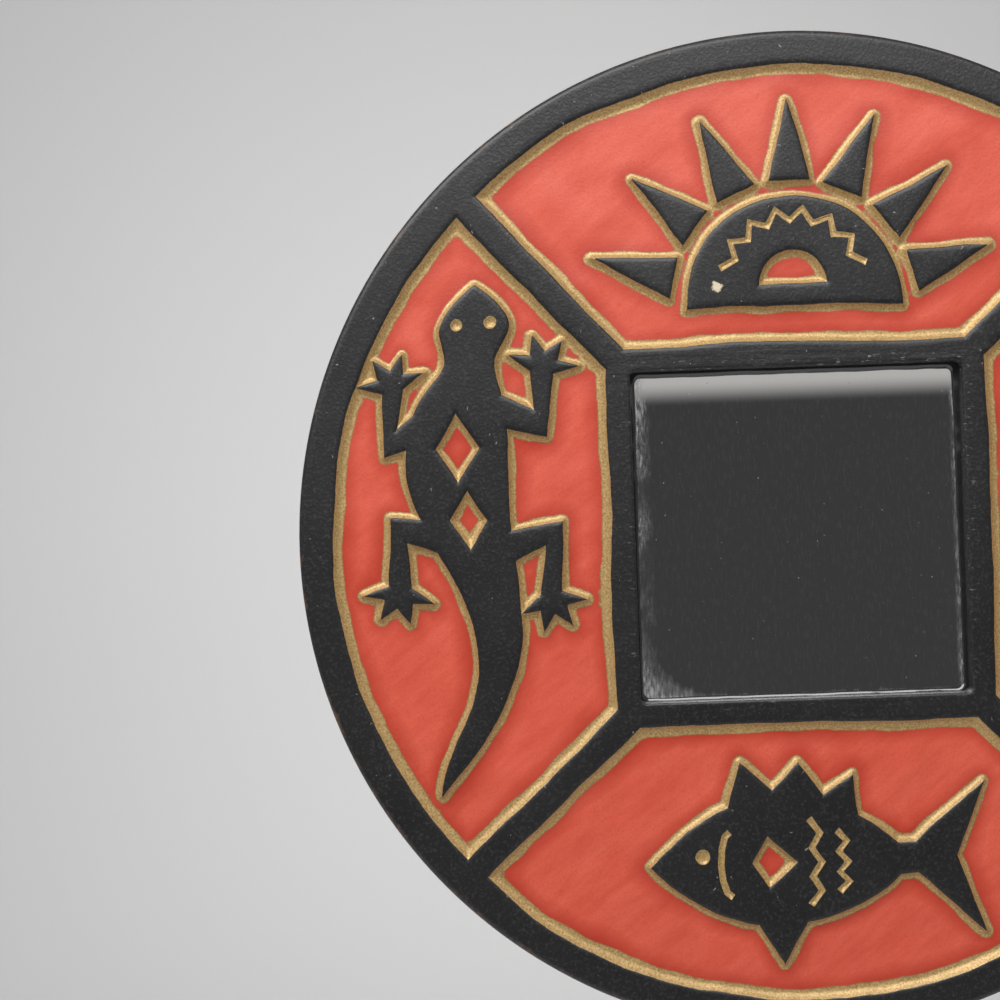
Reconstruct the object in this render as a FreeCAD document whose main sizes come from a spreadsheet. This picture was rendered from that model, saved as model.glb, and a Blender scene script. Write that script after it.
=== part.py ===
import FreeCAD, Part
import math
import os

import Sketcher
from FreeCAD import Placement, Rotation, Vector

# Painted wall mirror: a round carved board with a square glass let into its middle.
# Frame: the wall is the plane y = 0, the face looks along -Y, +Z is up, the origin is the
# centre of the back. All lengths are in millimetres, all angles in degrees.

SIZES = (
    # name, value, what it measures
    ("disc_diameter", 400, "outside of the round board"),
    ("board_thickness", 18, "board, from the wall to the raised face"),
    ("front_round", 2, "rounded front edge of the rim"),
    ("back_chamfer", 1, "broken back edge of the rim"),
    ("rim_width", 13.5, "raised rim, outside edge to panel"),
    ("relief_depth", 2.5, "how far the panels are sunk below the face"),
    ("bar_width", 11, "raised diagonal bars between the panels"),
    ("bar_turn", -2, "angle by which the bars miss the diagonals of the square"),
    ("surround_width", 9.5, "raised square surround of the opening"),
    ("opening_side", 132, "square opening that shows the glass"),
    ("opening_corner", 2.5, "corner radius of the opening"),
    ("glass_overlap", 6, "how far the glass reaches behind the surround"),
    ("glass_thickness", 4, "mirror glass"),
    ("glass_arris", 0.5, "ground edge of the glass"),
    ("glass_clearance", 0.5, "gap round the glass and the card"),
    ("card_thickness", 3, "card behind the glass"),
    ("bead_width", 1.5, "filler bead, measured on the glass"),
    ("bead_height", 2.2, "filler bead, measured up the wall of the opening"),
    ("bead_lip", 0.4, "width of the bead at its top"),
    ("bead_corner", 3, "corner radius of the bead's inside"),
    ("backing_overlap", 9.5, "how far the backing panel reaches beyond the glass rebate"),
    ("backing_thickness", 4, "backing panel"),
    ("backing_clearance", 0.5, "gap round the backing panel"),
    ("pin_diameter", 1.4, "shank of a panel pin"),
    ("pin_bite", 7, "panel pin, driven into the board"),
    ("pin_point", 2, "sharpened end of a panel pin"),
    ("pin_head_diameter", 2.6, "head of a panel pin"),
    ("pin_head_height", 0.8, "head of a panel pin"),
    ("pin_spacing", 90, "distance between the two pins of one side"),
    ("drive_fit", 0.02, "gap round a driven shank"),
    ("hanger_drop", 42, "ring's turning axis, below the top of the board"),
    ("recess_depth", 6, "hanger recess in the back"),
    ("recess_margin", 3, "free space round the hanger in its recess"),
    ("recess_corner", 6, "corner radius of the hanger recess"),
    ("strap_width", 12, "hanger strap"),
    ("strap_thickness", 1, "sheet of the hanger strap"),
    ("strap_end", 5, "strap, beyond its last screw"),
    ("eye_lift", 0.25, "how far the rolled eye stands off the strap"),
    ("wire_diameter", 2.4, "wire of the ring"),
    ("wire_fit", 0.08, "running gap between the wire and the eye"),
    ("ring_inner_width", 20, "inside of the ring, along its bar"),
    ("ring_inner_height", 18, "inside of the ring, across its bar"),
    ("ring_corner", 3, "bend radius of the wire beside the bar"),
    ("ring_clearance", 1, "gap between the hanging ring and the head of the lower screw"),
    ("screw_diameter", 3, "shank of a hanger screw"),
    ("screw_length", 6, "hanger screw under its head"),
    ("screw_point", 2, "pointed end of a hanger screw"),
    ("screw_head_diameter", 5.6, "head of a hanger screw"),
    ("screw_head_height", 1.8, "head of a hanger screw"),
    ("screw_slot_width", 0.9, "driver slot"),
    ("screw_slot_depth", 0.9, "driver slot"),
    ("screw_hole_clearance", 0.2, "gap round a screw in the strap"),
    ("screw_first", 7, "upper screw, below the ring's axis"),
    ("ornament_margin", 14, "least ground left between an ornament and its panel's edge"),
    ("groove_depth", 0.8, "lines cut into the raised ornaments"),
    ("groove_width", 2.4, "lines cut into the raised ornaments"),
)

doc = FreeCAD.newDocument("painted_wall_mirror")
sheet = doc.addObject("Spreadsheet::Sheet", "size")
for row, (alias, number, meaning) in enumerate(SIZES, start=1):
    sheet.set(f"A{row}", alias)
    sheet.set(f"B{row}", str(number))
    sheet.set(f"C{row}", meaning)
    sheet.setAlias(f"B{row}", alias)
doc.recompute()

# Derived places, written once and used by every piece that meets there
RADIUS = "size.disc_diameter / 2"
PANEL_OUTER = "(size.disc_diameter / 2 - size.rim_width)"
OPENING_HALF = "(size.opening_side / 2)"
PANEL_INNER = f"({OPENING_HALF} + size.surround_width)"
GLASS_HALF = f"({OPENING_HALF} + size.glass_overlap)"
GLASS_REBATE = f"({GLASS_HALF} + size.glass_clearance)"
GLASS_BACK = "(size.backing_thickness + size.card_thickness)"
GLASS_FRONT = f"({GLASS_BACK} + size.glass_thickness)"
BACKING_HALF = f"({GLASS_REBATE} + size.backing_overlap)"
PIN_LINE = f"({GLASS_REBATE} + size.backing_overlap / 2)"
PIN_LENGTH = "(size.backing_thickness + size.pin_bite)"
HANGER_AXIS = "(size.disc_diameter / 2 - size.hanger_drop)"
WIRE_RADIUS = "(size.wire_diameter / 2)"
EYE_BORE = "(size.wire_diameter / 2 + size.wire_fit)"
EYE_RADIUS = f"({EYE_BORE} + size.strap_thickness)"
WIRE_HEIGHT = f"(size.strap_thickness + {EYE_BORE} + size.eye_lift)"
WIRE_Y = f"({WIRE_HEIGHT} - size.recess_depth)"
RING_HALF = "(size.ring_inner_width / 2 + size.wire_diameter / 2)"
RING_REACH = "(size.ring_inner_height + size.wire_diameter)"
SCREW_DROPS = {
    "upper": "size.screw_first",
    "lower": f"({RING_REACH} + {WIRE_RADIUS} + size.ring_clearance + size.screw_head_diameter / 2)",
}
STRAP_LENGTH = f"({SCREW_DROPS['lower']} + size.strap_end)"


def value(text):
    """Number that an expression on the sheet has now."""
    return float(sheet.evalExpression(text))


def piece(name):
    """Empty body for one sub-part; its label names its file."""
    body = doc.addObject("PartDesign::Body", name)
    body.Label = name
    return body


def sketch_on(body, name, role="XZ_Plane", offset="0"):
    """Sketch on an origin plane of its body, moved along the plane's normal by an offset."""
    sketch = body.newObject("Sketcher::SketchObject", name)
    plane = next(item for item in body.Origin.OriginFeatures if item.Role == role)
    sketch.AttachmentSupport = [(plane, "")]
    sketch.MapMode = "FlatFace"
    sketch.setExpression("AttachmentOffset.Base.z", offset)
    return sketch


def hold(sketch, geometry, point, x, y):
    """Bind one point of a sketch to two expressions."""
    for kind, axis, text in (("DistanceX", -2, x), ("DistanceY", -1, y)):
        if text == "0":
            sketch.addConstraint(Sketcher.Constraint("PointOnObject", geometry, point, axis))
            continue
        index = sketch.addConstraint(Sketcher.Constraint(kind, -1, 1, geometry, point, value(text)))
        sketch.setExpression(f"Constraints[{index}]", text)


def polygon(sketch, corners):
    """Closed outline of straight edges whose corners are pairs of expressions."""
    points = [Vector(value(x), value(y), 0) for x, y in corners]
    first = sketch.GeometryCount
    count = len(points)
    for index in range(count):
        sketch.addGeometry(Part.LineSegment(points[index], points[(index + 1) % count]))
    for index in range(count):
        following = first + (index + 1) % count
        sketch.addConstraint(Sketcher.Constraint("Coincident", first + index, 2, following, 1))
    for index, (x, y) in enumerate(corners):
        hold(sketch, first + index, 1, x, y)


def square(sketch, half):
    """Square about the sketch's origin."""
    polygon(sketch, [(f"-({half})", f"-({half})"), (half, f"-({half})"), (half, half), (f"-({half})", half)])


def rounded_box(sketch, left, right, low, high, radius):
    """Upright rectangle with round corners, its limits and radius given as expressions."""
    corners = ((f"{right} - {radius}", f"{high} - {radius}"), (f"{left} + {radius}", f"{high} - {radius}"),
               (f"{left} + {radius}", f"{low} + {radius}"), (f"{right} - {radius}", f"{low} + {radius}"))
    bends = []
    for quarter, (x, y) in enumerate(corners):
        start = quarter * math.pi / 2
        bend = Part.Circle(Vector(value(x), value(y), 0), Vector(0, 0, 1), value(radius))
        bends.append(sketch.addGeometry(Part.ArcOfCircle(bend, start, start + math.pi / 2)))
    for index, bend in enumerate(bends):
        following = bends[(index + 1) % len(bends)]
        ends = [sketch.getPoint(bend, 2), sketch.getPoint(following, 1)]
        side = sketch.addGeometry(Part.LineSegment(*ends))
        sketch.addConstraint(Sketcher.Constraint("Tangent", bend, 2, side, 1))
        sketch.addConstraint(Sketcher.Constraint("Tangent", side, 2, following, 1))
    for bend, (x, y) in zip(bends, corners):
        hold(sketch, bend, 3, x, y)
        index = sketch.addConstraint(Sketcher.Constraint("Radius", bend, value(radius)))
        sketch.setExpression(f"Constraints[{index}]", radius)


def rounded_square(sketch, half, radius):
    """Square with round corners about the sketch's origin."""
    rounded_box(sketch, f"-{half}", half, f"-{half}", half, radius)


def circle(sketch, x, y, radius):
    """Circle whose centre and radius are expressions."""
    centre = Vector(value(x), value(y), 0)
    index = sketch.addGeometry(Part.Circle(centre, Vector(0, 0, 1), value(radius)))
    hold(sketch, index, 3, x, y)
    size = sketch.addConstraint(Sketcher.Constraint("Radius", index, value(radius)))
    sketch.setExpression(f"Constraints[{size}]", radius)


def feature(body, kind, profile, length, **settings):
    """Pad or Pocket of a sketch."""
    made = body.newObject(f"PartDesign::{kind}", f"{profile.Name}_{kind.lower()}")
    made.Profile = profile
    made.setExpression("Length", length)
    for name, setting in settings.items():
        setattr(made, name, setting)
    doc.recompute()
    return made


def dress(body, kind, base, chosen, size_name, size):
    """Fillet or Chamfer on the edges of a feature that a test picks out."""
    names = [f"Edge{n}" for n, edge in enumerate(base.Shape.Edges, start=1) if chosen(edge)]
    made = body.newObject(f"PartDesign::{kind}", f"{base.Name}_{kind.lower()}")
    made.Base = (base, names)
    made.setExpression(size_name, size)
    doc.recompute()
    return made


def turned(body, name, corners):
    """Solid turned about the Y axis from a half profile in the XY plane."""
    sketch = sketch_on(body, f"{name}_profile", "XY_Plane")
    polygon(sketch, corners)
    made = body.newObject("PartDesign::Revolution", f"{name}_turned")
    made.Profile = sketch
    made.ReferenceAxis = (sketch, ["V_Axis"])
    made.Angle = 360
    doc.recompute()
    return made


def at_depth(depth):
    """Test for edges that lie in the plane at one depth behind or before the wall plane."""
    return lambda edge: abs(edge.BoundBox.YMin - depth) < 1e-6 and abs(edge.BoundBox.YMax - depth) < 1e-6


def place(item, x, y, z):
    """Bind the placement of a piece to three expressions."""
    for axis, text in zip("xyz", (x, y, z)):
        item.setExpression(f"Placement.Base.{axis}", text)


# Board: a round blank with a square opening, rebated from behind for glass, card and panel
def pin_places():
    """The two pins of each side of the backing panel, as pairs of expressions."""
    half = "(size.pin_spacing / 2)"
    places = []
    for side in ("", "-"):
        for along in ("", "-"):
            places.append((f"{along}{half}", f"{side}{PIN_LINE}"))
            places.append((f"{side}{PIN_LINE}", f"{along}{half}"))
    return places


def recess_limits():
    """Left, right, lower and upper limits of the hanger recess."""
    half = f"({RING_HALF} + {WIRE_RADIUS} + size.recess_margin)"
    lower = f"({HANGER_AXIS} - {STRAP_LENGTH} - size.recess_margin)"
    upper = f"({HANGER_AXIS} + {RING_REACH} + {WIRE_RADIUS} + size.recess_margin)"
    return f"-{half}", half, lower, upper


def panel_sketch(body):
    """Sunk panel on the +X side: rim arc, two bar edges and the edge of the surround."""
    sketch = sketch_on(body, "panel", offset="size.board_thickness")
    inner, outer = value(PANEL_INNER), value(PANEL_OUTER)
    half = value("size.bar_width / 2")
    turn = value("size.bar_turn")
    ends = []
    for side in (-1, 1):
        angle = math.radians(side * 45 + turn)
        along = Vector(math.cos(angle), math.sin(angle), 0)
        across = Vector(-along.y, along.x, 0) * -side
        edge_point = Vector(inner, side * inner, 0) + across * half
        near = edge_point + along * ((inner - edge_point.x) / along.x)
        reach = edge_point.dot(along)
        far = edge_point + along * (math.sqrt(reach**2 + outer**2 - edge_point.Length**2) - reach)
        ends.append((near, far))
    (low_near, low_far), (high_near, high_far) = ends
    start, stop = (math.atan2(point.y, point.x) for point in (low_far, high_far))
    rim = sketch.addGeometry(Part.ArcOfCircle(Part.Circle(Vector(), Vector(0, 0, 1), outer), start, stop))
    high = sketch.addGeometry(Part.LineSegment(high_far, high_near))
    post = sketch.addGeometry(Part.LineSegment(high_near, low_near))
    low = sketch.addGeometry(Part.LineSegment(low_near, low_far))
    for first, first_end, second, second_end in ((rim, 2, high, 1), (high, 2, post, 1), (post, 2, low, 1),
                                                 (low, 2, rim, 1)):
        sketch.addConstraint(Sketcher.Constraint("Coincident", first, first_end, second, second_end))
    sketch.addConstraint(Sketcher.Constraint("Coincident", rim, 3, -1, 1))
    sketch.addConstraint(Sketcher.Constraint("Vertical", post))
    bound = [("Radius", (rim,), outer, PANEL_OUTER), ("Distance", (-1, 1, post), inner, PANEL_INNER)]
    for line, side in ((high, 1), (low, -1)):
        corner = sketch.addGeometry(Part.Point(Vector(inner, side * inner, 0)), True)
        hold(sketch, corner, 1, PANEL_INNER, PANEL_INNER if side > 0 else f"-{PANEL_INNER}")
        bound.append(("Distance", (corner, 1, line), half, "size.bar_width / 2"))
    angles = ((high, math.radians(225 + turn), "225 deg + size.bar_turn * 1 deg"),
              (low, math.radians(-45 + turn), "-45 deg + size.bar_turn * 1 deg"))
    bound += [("Angle", (line,), radians, text) for line, radians, text in angles]
    for kind, where, number, text in bound:
        index = sketch.addConstraint(Sketcher.Constraint(kind, *where, number))
        sketch.setExpression(f"Constraints[{index}]", text)
    return sketch


def make_board():
    """Blank with its cuts, before the ornaments are added."""
    body = piece("board_blank")
    disc = sketch_on(body, "disc")
    circle(disc, "0", "0", RADIUS)
    blank = feature(body, "Pad", disc, "size.board_thickness")
    front = at_depth(-value("size.board_thickness"))
    rounded = dress(body, "Fillet", blank, front, "Radius", "size.front_round")
    dress(body, "Chamfer", rounded, at_depth(0), "Size", "size.back_chamfer")

    opening = sketch_on(body, "opening")
    rounded_square(opening, OPENING_HALF, "size.opening_corner")
    feature(body, "Pocket", opening, "size.board_thickness", Reversed=True)

    for name, half, depth in (
        ("glass_rebate", GLASS_REBATE, GLASS_FRONT),
        ("panel_rebate", f"{BACKING_HALF} + size.backing_clearance", "size.backing_thickness"),
    ):
        rebate = sketch_on(body, name)
        square(rebate, half)
        feature(body, "Pocket", rebate, depth, Reversed=True)

    pins = sketch_on(body, "pin_holes")
    for x, z in pin_places():
        circle(pins, x, z, "size.pin_diameter / 2 + size.drive_fit")
    feature(body, "Pocket", pins, f"{PIN_LENGTH} + size.drive_fit", Reversed=True)

    screws = sketch_on(body, "screw_holes")
    for drop in SCREW_DROPS.values():
        circle(screws, "0", f"{HANGER_AXIS} - {drop}", "size.screw_diameter / 2 + size.drive_fit")
    screw_depth = "size.recess_depth - size.strap_thickness + size.screw_length + size.drive_fit"
    feature(body, "Pocket", screws, screw_depth, Reversed=True)

    recess = sketch_on(body, "hanger_recess")
    rounded_box(recess, *recess_limits(), "size.recess_corner")
    feature(body, "Pocket", recess, "size.recess_depth", Reversed=True)

    panel = feature(body, "Pocket", panel_sketch(body), "size.relief_depth")
    pattern = body.newObject("PartDesign::PolarPattern", "panels")
    pattern.Originals = [panel]
    pattern.Axis = (next(item for item in body.Origin.OriginFeatures if item.Role == "Y_Axis"), [""])
    pattern.Angle = 360
    pattern.Occurrences = 4
    body.Tip = pattern
    doc.recompute()
    return body


# Ornaments: raised outlines on the panel grounds, drawn in half panel widths about a panel's middle
class Spot:
    """Place and scale of one ornament on the face of the board."""

    def __init__(self, x, z, unit, turn=1):
        self.x, self.z, self.unit, self.turn = x, z, unit, turn

    def __call__(self, across, up):
        return Vector(self.x + self.turn * self.unit * across, 0, self.z + self.turn * self.unit * up)


def slab(wire, low, high):
    """Solid between two depths in front of the wall plane, from a closed outline at the wall plane."""
    face = Part.Face(wire)
    face.translate(Vector(0, -low, 0))
    return face.extrude(Vector(0, low - high, 0))


def straight(spot, points):
    """Closed outline of straight edges."""
    corners = [spot(*point) for point in points]
    return Part.makePolygon(corners + corners[:1])


def limb(spot, joints, widths):
    """Outline of a bent limb that narrows from joint to joint."""
    left, right = [], []
    for index, (joint, width) in enumerate(zip(joints, widths)):
        before = joints[max(index - 1, 0)]
        after = joints[min(index + 1, len(joints) - 1)]
        along = Vector(after[0] - before[0], after[1] - before[1], 0).normalize()
        left.append((joint[0] - along.y * width / 2, joint[1] + along.x * width / 2))
        right.append((joint[0] + along.y * width / 2, joint[1] - along.x * width / 2))
    return straight(spot, left + right[::-1])


def foot(spot, wrist, heading, toes=4, spread=150, reach=0.34, web=0.17):
    """Outline of a foot: a fan of pointed toes about a wrist."""
    points = []
    steps = 2 * toes - 2
    for step in range(steps + 1):
        angle = math.radians(heading - spread / 2 + spread * step / steps)
        length = reach if step % 2 == 0 else web
        points.append((wrist[0] + length * math.cos(angle), wrist[1] + length * math.sin(angle)))
    heel = math.radians(heading + 180)
    points.append((wrist[0] + web / 2 * math.cos(heel), wrist[1] + web / 2 * math.sin(heel)))
    return straight(spot, points)


def lens(spot, left, right, bulge):
    """Outline of two arcs between two points on one level."""
    middle = (left + right) / 2
    ends = spot(left, 0), spot(right, 0)
    arcs = [Part.Arc(ends[0], spot(middle, side * bulge), ends[1]).toShape() for side in (1, -1)]
    return Part.Wire(arcs)


def disc_outline(spot, across, up, radius):
    """Round outline, its radius in the ornament's own units."""
    return Part.Wire(Part.makeCircle(radius * spot.unit, spot(across, up), Vector(0, -1, 0)))


def band(spot, points, width):
    """Outline of a bent line of one width."""
    return limb(spot, points, [width / spot.unit] * len(points))


def half_disc(spot, base, radius):
    """Outline of the upper half of a disc that stands on a level."""
    left, right = spot(-radius, base), spot(radius, base)
    arc = Part.Arc(left, spot(0, base + radius), right).toShape()
    return Part.Wire([arc, Part.makeLine(right, left)])


class Carving:
    """Outlines of one ornament: raised forms, windows sunk to the ground, and shallow lines."""

    def __init__(self, raised, windows, lines):
        self.raised, self.windows, self.lines = raised, windows, lines

    def solid(self):
        """Raised forms rooted below the ground, cut by the windows and the lines."""
        face = value("size.board_thickness")
        sunk = value("size.relief_depth")
        ground, root, above = face - sunk, face - 2 * sunk, face + sunk
        raised = [slab(wire, root, face) for wire in self.raised]
        form = raised[0].fuse(raised[1:]).removeSplitter()
        for wire in self.windows:
            form = form.cut(slab(wire, ground, above))
        for wire in self.lines:
            form = form.cut(slab(wire, face - value("size.groove_depth"), above))
        return form


def lizard(spot):
    """Climbing lizard: a swaying body, four bent legs with spread toes, two diamonds on its back."""
    # height along the panel, sway to the right, half width
    stations = ((2.32, 0.10, 0.18), (2.06, 0.09, 0.33), (1.78, 0.05, 0.24), (1.42, -0.04, 0.37),
                (0.85, -0.12, 0.50), (0.25, -0.06, 0.43), (-0.25, 0.08, 0.32), (-0.75, 0.22, 0.24),
                (-1.30, 0.20, 0.19), (-1.80, -0.02, 0.15), (-2.15, -0.21, 0.09))
    snout, tail = (0.10, 2.48), (-0.36, -2.44)
    sides = []
    for side in (-1, 1):
        points = [snout] + [(sway + side * half, up) for up, sway, half in stations] + [tail]
        curve = Part.BSplineCurve()
        curve.interpolate([spot(*point) for point in points])
        sides.append(curve.toShape())
    legs = (((-0.20, 1.26), (-0.76, 0.98), (-0.70, 1.50), 100),
            ((0.10, 1.34), (0.70, 1.12), (0.72, 1.64), 80),
            ((0.00, 0.00), (-0.70, 0.14), (-0.70, -0.42), 260),
            ((0.16, -0.12), (0.78, 0.06), (0.76, -0.54), 280))
    raised = [Part.Wire(sides)]
    for hip, knee, wrist, heading in legs:
        raised.append(limb(spot, (hip, knee, wrist), (0.36, 0.28, 0.21)))
        raised.append(foot(spot, wrist, heading))
    diamonds = [straight(spot, ((x, y + tall), (x + wide, y), (x, y - tall), (x - wide, y)))
                for x, y, wide, tall in ((-0.11, 0.92, 0.22, 0.34), (-0.02, 0.22, 0.18, 0.28))]
    eyes = [disc_outline(spot, 0.09 + side * 0.16, 2.10, 0.055) for side in (-1, 1)]
    return Carving(raised, diamonds, eyes)


def sun(spot):
    """Half sun over the opening: a half disc with a sunk heart and a cut zigzag, and pointed rays."""
    base, radius, window, gap, tip, width = -0.98, 1.04, 0.32, 0.15, 1.98, 0.40
    rays, lowest = 7, 15
    raised = [half_disc(spot, base, radius)]
    for index in range(rays):
        angle = math.radians(lowest + (180 - 2 * lowest) * index / (rays - 1))
        along, across = (math.cos(angle), math.sin(angle)), (-math.sin(angle), math.cos(angle))
        corners = ((radius + gap, width / 2), (radius + gap, -width / 2), (tip, 0))
        raised.append(straight(spot, [(reach * along[0] + aside * across[0],
                                       base + reach * along[1] + aside * across[1])
                                      for reach, aside in corners]))
    heart = base + 0.20
    knots, line = 15, value("size.groove_width")
    points = []
    for index in range(knots):
        angle = math.pi * (0.08 + 0.84 * index / (knots - 1))
        reach = 0.66 + 0.06 * (-1) ** index
        points.append((reach * math.cos(angle), heart + reach * math.sin(angle)))
    return Carving(raised, [half_disc(spot, heart, window)], [band(spot, points, line)])


def fish(spot):
    """Fish: a body of two arcs, forked tail and jagged fins, with eye, gill and scale lines."""
    raised = [
        lens(spot, -1.56, 0.96, 0.60),
        straight(spot, ((0.46, 0.14), (1.00, 0.14), (1.66, 0.72), (1.38, 0.0), (1.66, -0.72), (1.00, -0.14),
                        (0.46, -0.14))),
        straight(spot, ((-0.84, 0.30), (-0.66, 0.96), (-0.36, 0.68), (-0.12, 0.94), (0.12, 0.62),
                        (0.40, 0.82), (0.50, 0.16))),
        straight(spot, ((-0.66, -0.34), (-0.30, -0.98), (0.10, -0.34))),
    ]
    windows = [straight(spot, ((-0.42, 0.24), (-0.16, 0.0), (-0.42, -0.24), (-0.58, 0.0)))]
    width = value("size.groove_width")
    lines = [disc_outline(spot, -1.06, 0.09, 0.07)]
    for start in (-0.02, 0.24):
        tall = 0.40 - 0.5 * start
        points = [(start + 0.09 * (step % 2), tall * (1 - step / 3)) for step in range(7)]
        lines.append(band(spot, points, width))
    gill = [(-0.78 - 0.10 * math.cos(math.radians(angle)), 0.30 * math.sin(math.radians(angle)))
            for angle in range(-90, 91, 30)]
    lines.append(band(spot, gill, width))
    return Carving(raised, windows, lines)


def make_frame(board):
    """Finished board: the blank joined with the ornaments of its four panels."""
    inner, outer = value(PANEL_INNER), value(PANEL_OUTER)
    middle = (inner + outer) / 2
    depth = outer - inner - 2 * value("size.ornament_margin")
    carvings = {
        "left": lizard(Spot(-middle, 0, depth / 2)),
        "right": lizard(Spot(middle, 0, depth / 2, turn=-1)),
        "top": sun(Spot(0, middle, depth / 2)),
        "bottom": fish(Spot(0, -middle, depth / 2)),
    }
    ornaments = []
    for side, carving in carvings.items():
        ornament = doc.addObject("Part::Feature", f"ornament_{side}")
        ornament.Shape = carving.solid()
        ornaments.append(ornament)
    frame = doc.addObject("Part::MultiFuse", "carved_frame")
    frame.Shapes = [board] + ornaments
    frame.Label = "carved_frame"
    return frame


# Glass, bead, card and backing panel, stacked from the front of the rebate to the wall plane
def make_sheet(name, half, near, thickness):
    """Square sheet whose back lies at a depth in front of the wall plane."""
    body = piece(name)
    outline = sketch_on(body, f"{name}_outline", offset=near)
    square(outline, half)
    return body, feature(body, "Pad", outline, thickness)


def make_glass():
    body, slab_feature = make_sheet("mirror_glass", GLASS_HALF, GLASS_BACK, "size.glass_thickness")
    dress(body, "Chamfer", slab_feature, at_depth(-value(GLASS_FRONT)), "Size", "size.glass_arris")
    return body


def make_card():
    return make_sheet("cushion_card", GLASS_HALF, "size.backing_thickness", "size.card_thickness")[0]


def make_backing():
    body, _ = make_sheet("backing_panel", BACKING_HALF, "0", "size.backing_thickness")
    fits = (("heads", "size.pin_head_diameter / 2 + size.drive_fit", "size.pin_head_height"),
            ("shanks", "size.pin_diameter / 2 + size.drive_fit", "size.backing_thickness"))
    for name, radius, depth in fits:
        holes = sketch_on(body, f"backing_{name}")
        for x, z in pin_places():
            circle(holes, x, z, radius)
        feature(body, "Pocket", holes, depth, Reversed=True)
    return body


def make_bead():
    """Filler in the corner between the glass and the wall of the opening."""
    body = piece("glazing_bead")
    block = sketch_on(body, "bead_block", offset=GLASS_FRONT)
    rounded_square(block, OPENING_HALF, "size.opening_corner")
    feature(body, "Pad", block, "size.bead_height")
    mouths = []
    for name, width, near in (("bead_foot", "size.bead_width", GLASS_FRONT),
                              ("bead_top", "size.bead_lip", f"{GLASS_FRONT} + size.bead_height")):
        mouth = sketch_on(body, name, offset=near)
        rounded_square(mouth, f"({OPENING_HALF} - {width})", "size.bead_corner")
        mouths.append(mouth)
    slope = body.newObject("PartDesign::SubtractiveLoft", "bead_slope")
    slope.Profile = mouths[0]
    slope.Sections = mouths[1:]
    slope.Ruled = True
    doc.recompute()
    return body


# Panel pins, driven through the edge of the backing panel
def make_pin(number, x, z):
    body = piece(f"panel_pin_{number}")
    head, shank = "size.pin_head_diameter / 2", "size.pin_diameter / 2"
    neck, taper = "-size.pin_head_height", f"-({PIN_LENGTH} - size.pin_point)"
    turned(body, body.Name, [("0", "0"), (head, "0"), (head, neck), (shank, neck), (shank, taper),
                             ("0", f"-{PIN_LENGTH}")])
    place(body, x, "0", z)
    return body


# Hanger: a strap rolled round the bar of a wire ring, screwed to the floor of its recess
def make_strap():
    body = piece("hanger_strap")
    leg = sketch_on(body, "strap_leg", "YZ_Plane")
    polygon(leg, [("0", "0"), ("size.strap_thickness", "0"), ("size.strap_thickness", f"-{STRAP_LENGTH}"),
                  ("0", f"-{STRAP_LENGTH}")])
    feature(body, "Pad", leg, "size.strap_width", Midplane=True)
    for name, kind, radius in (("strap_eye", "Pad", EYE_RADIUS), ("strap_bore", "Pocket", EYE_BORE)):
        eye = sketch_on(body, name, "YZ_Plane")
        circle(eye, WIRE_HEIGHT, "0", radius)
        feature(body, kind, eye, "size.strap_width", Midplane=True)
    holes = sketch_on(body, "strap_holes")
    for drop in SCREW_DROPS.values():
        circle(holes, "0", f"-{drop}", "size.screw_diameter / 2 + size.screw_hole_clearance")
    feature(body, "Pocket", holes, "size.strap_thickness")
    place(body, "0", "-size.recess_depth", HANGER_AXIS)
    return body


def make_ring():
    """Ring of bent wire, hanging from its bar: bar, two bends, two arms and a half circle."""
    bar_half = f"({RING_HALF} - size.ring_corner)"
    arm = f"({RING_REACH} - {RING_HALF} - size.ring_corner)"
    drop = f"({RING_REACH} - {RING_HALF})"
    spans = []

    def wire(name, x, z, axis, length):
        span = doc.addObject("Part::Cylinder", name)
        span.setExpression("Radius", WIRE_RADIUS)
        span.setExpression("Height", length)
        span.Placement = Placement(Vector(), Rotation(Vector(0, 0, 1), axis))
        place(span, x, WIRE_Y, z)
        spans.append(span)

    def bend(name, x, z, radius, start, sweep):
        turn = doc.addObject("Part::Torus", name)
        turn.setExpression("Radius1", radius)
        turn.setExpression("Radius2", WIRE_RADIUS)
        turn.Angle3 = sweep
        flat = Rotation(Vector(1, 0, 0), 90)
        turn.Placement = Placement(Vector(), flat.multiply(Rotation(Vector(0, 0, 1), start)))
        place(turn, x, WIRE_Y, z)
        spans.append(turn)

    wire("ring_bar", f"-{bar_half}", HANGER_AXIS, Vector(1, 0, 0), f"2 * {bar_half}")
    for side, sign, start in (("left", "-", 90), ("right", "", 0)):
        low = f"{HANGER_AXIS} - size.ring_corner"
        bend(f"ring_bend_{side}", f"{sign}{bar_half}", low, "size.ring_corner", start, 90)
        wire(f"ring_arm_{side}", f"{sign}{RING_HALF}", low, Vector(0, 0, -1), arm)
    bend("ring_bow", "0", f"{HANGER_AXIS} - {drop}", RING_HALF, 180, 180)
    ring = doc.addObject("Part::MultiFuse", "hanger_ring")
    ring.Shapes = spans
    ring.Label = "hanger_ring"
    return ring


def make_screw(name, drop):
    body = piece(f"hanger_screw_{name}")
    head, shank = "size.screw_head_diameter / 2", "size.screw_diameter / 2"
    taper = "-(size.screw_length - size.screw_point)"
    turned(body, body.Name, [("0", "size.screw_head_height"), (head, "size.screw_head_height"), (head, "0"),
                             (shank, "0"), (shank, taper), ("0", "-size.screw_length")])
    slot = sketch_on(body, f"{body.Name}_slot", "YZ_Plane")
    floor, half = "(size.screw_head_height - size.screw_slot_depth)", "(size.screw_slot_width / 2)"
    polygon(slot, [(floor, f"-{half}"), ("size.screw_head_height", f"-{half}"),
                   ("size.screw_head_height", half), (floor, half)])
    feature(body, "Pocket", slot, "size.screw_head_diameter", Midplane=True)
    place(body, "0", "size.strap_thickness - size.recess_depth", f"{HANGER_AXIS} - {drop}")
    return body


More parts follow.
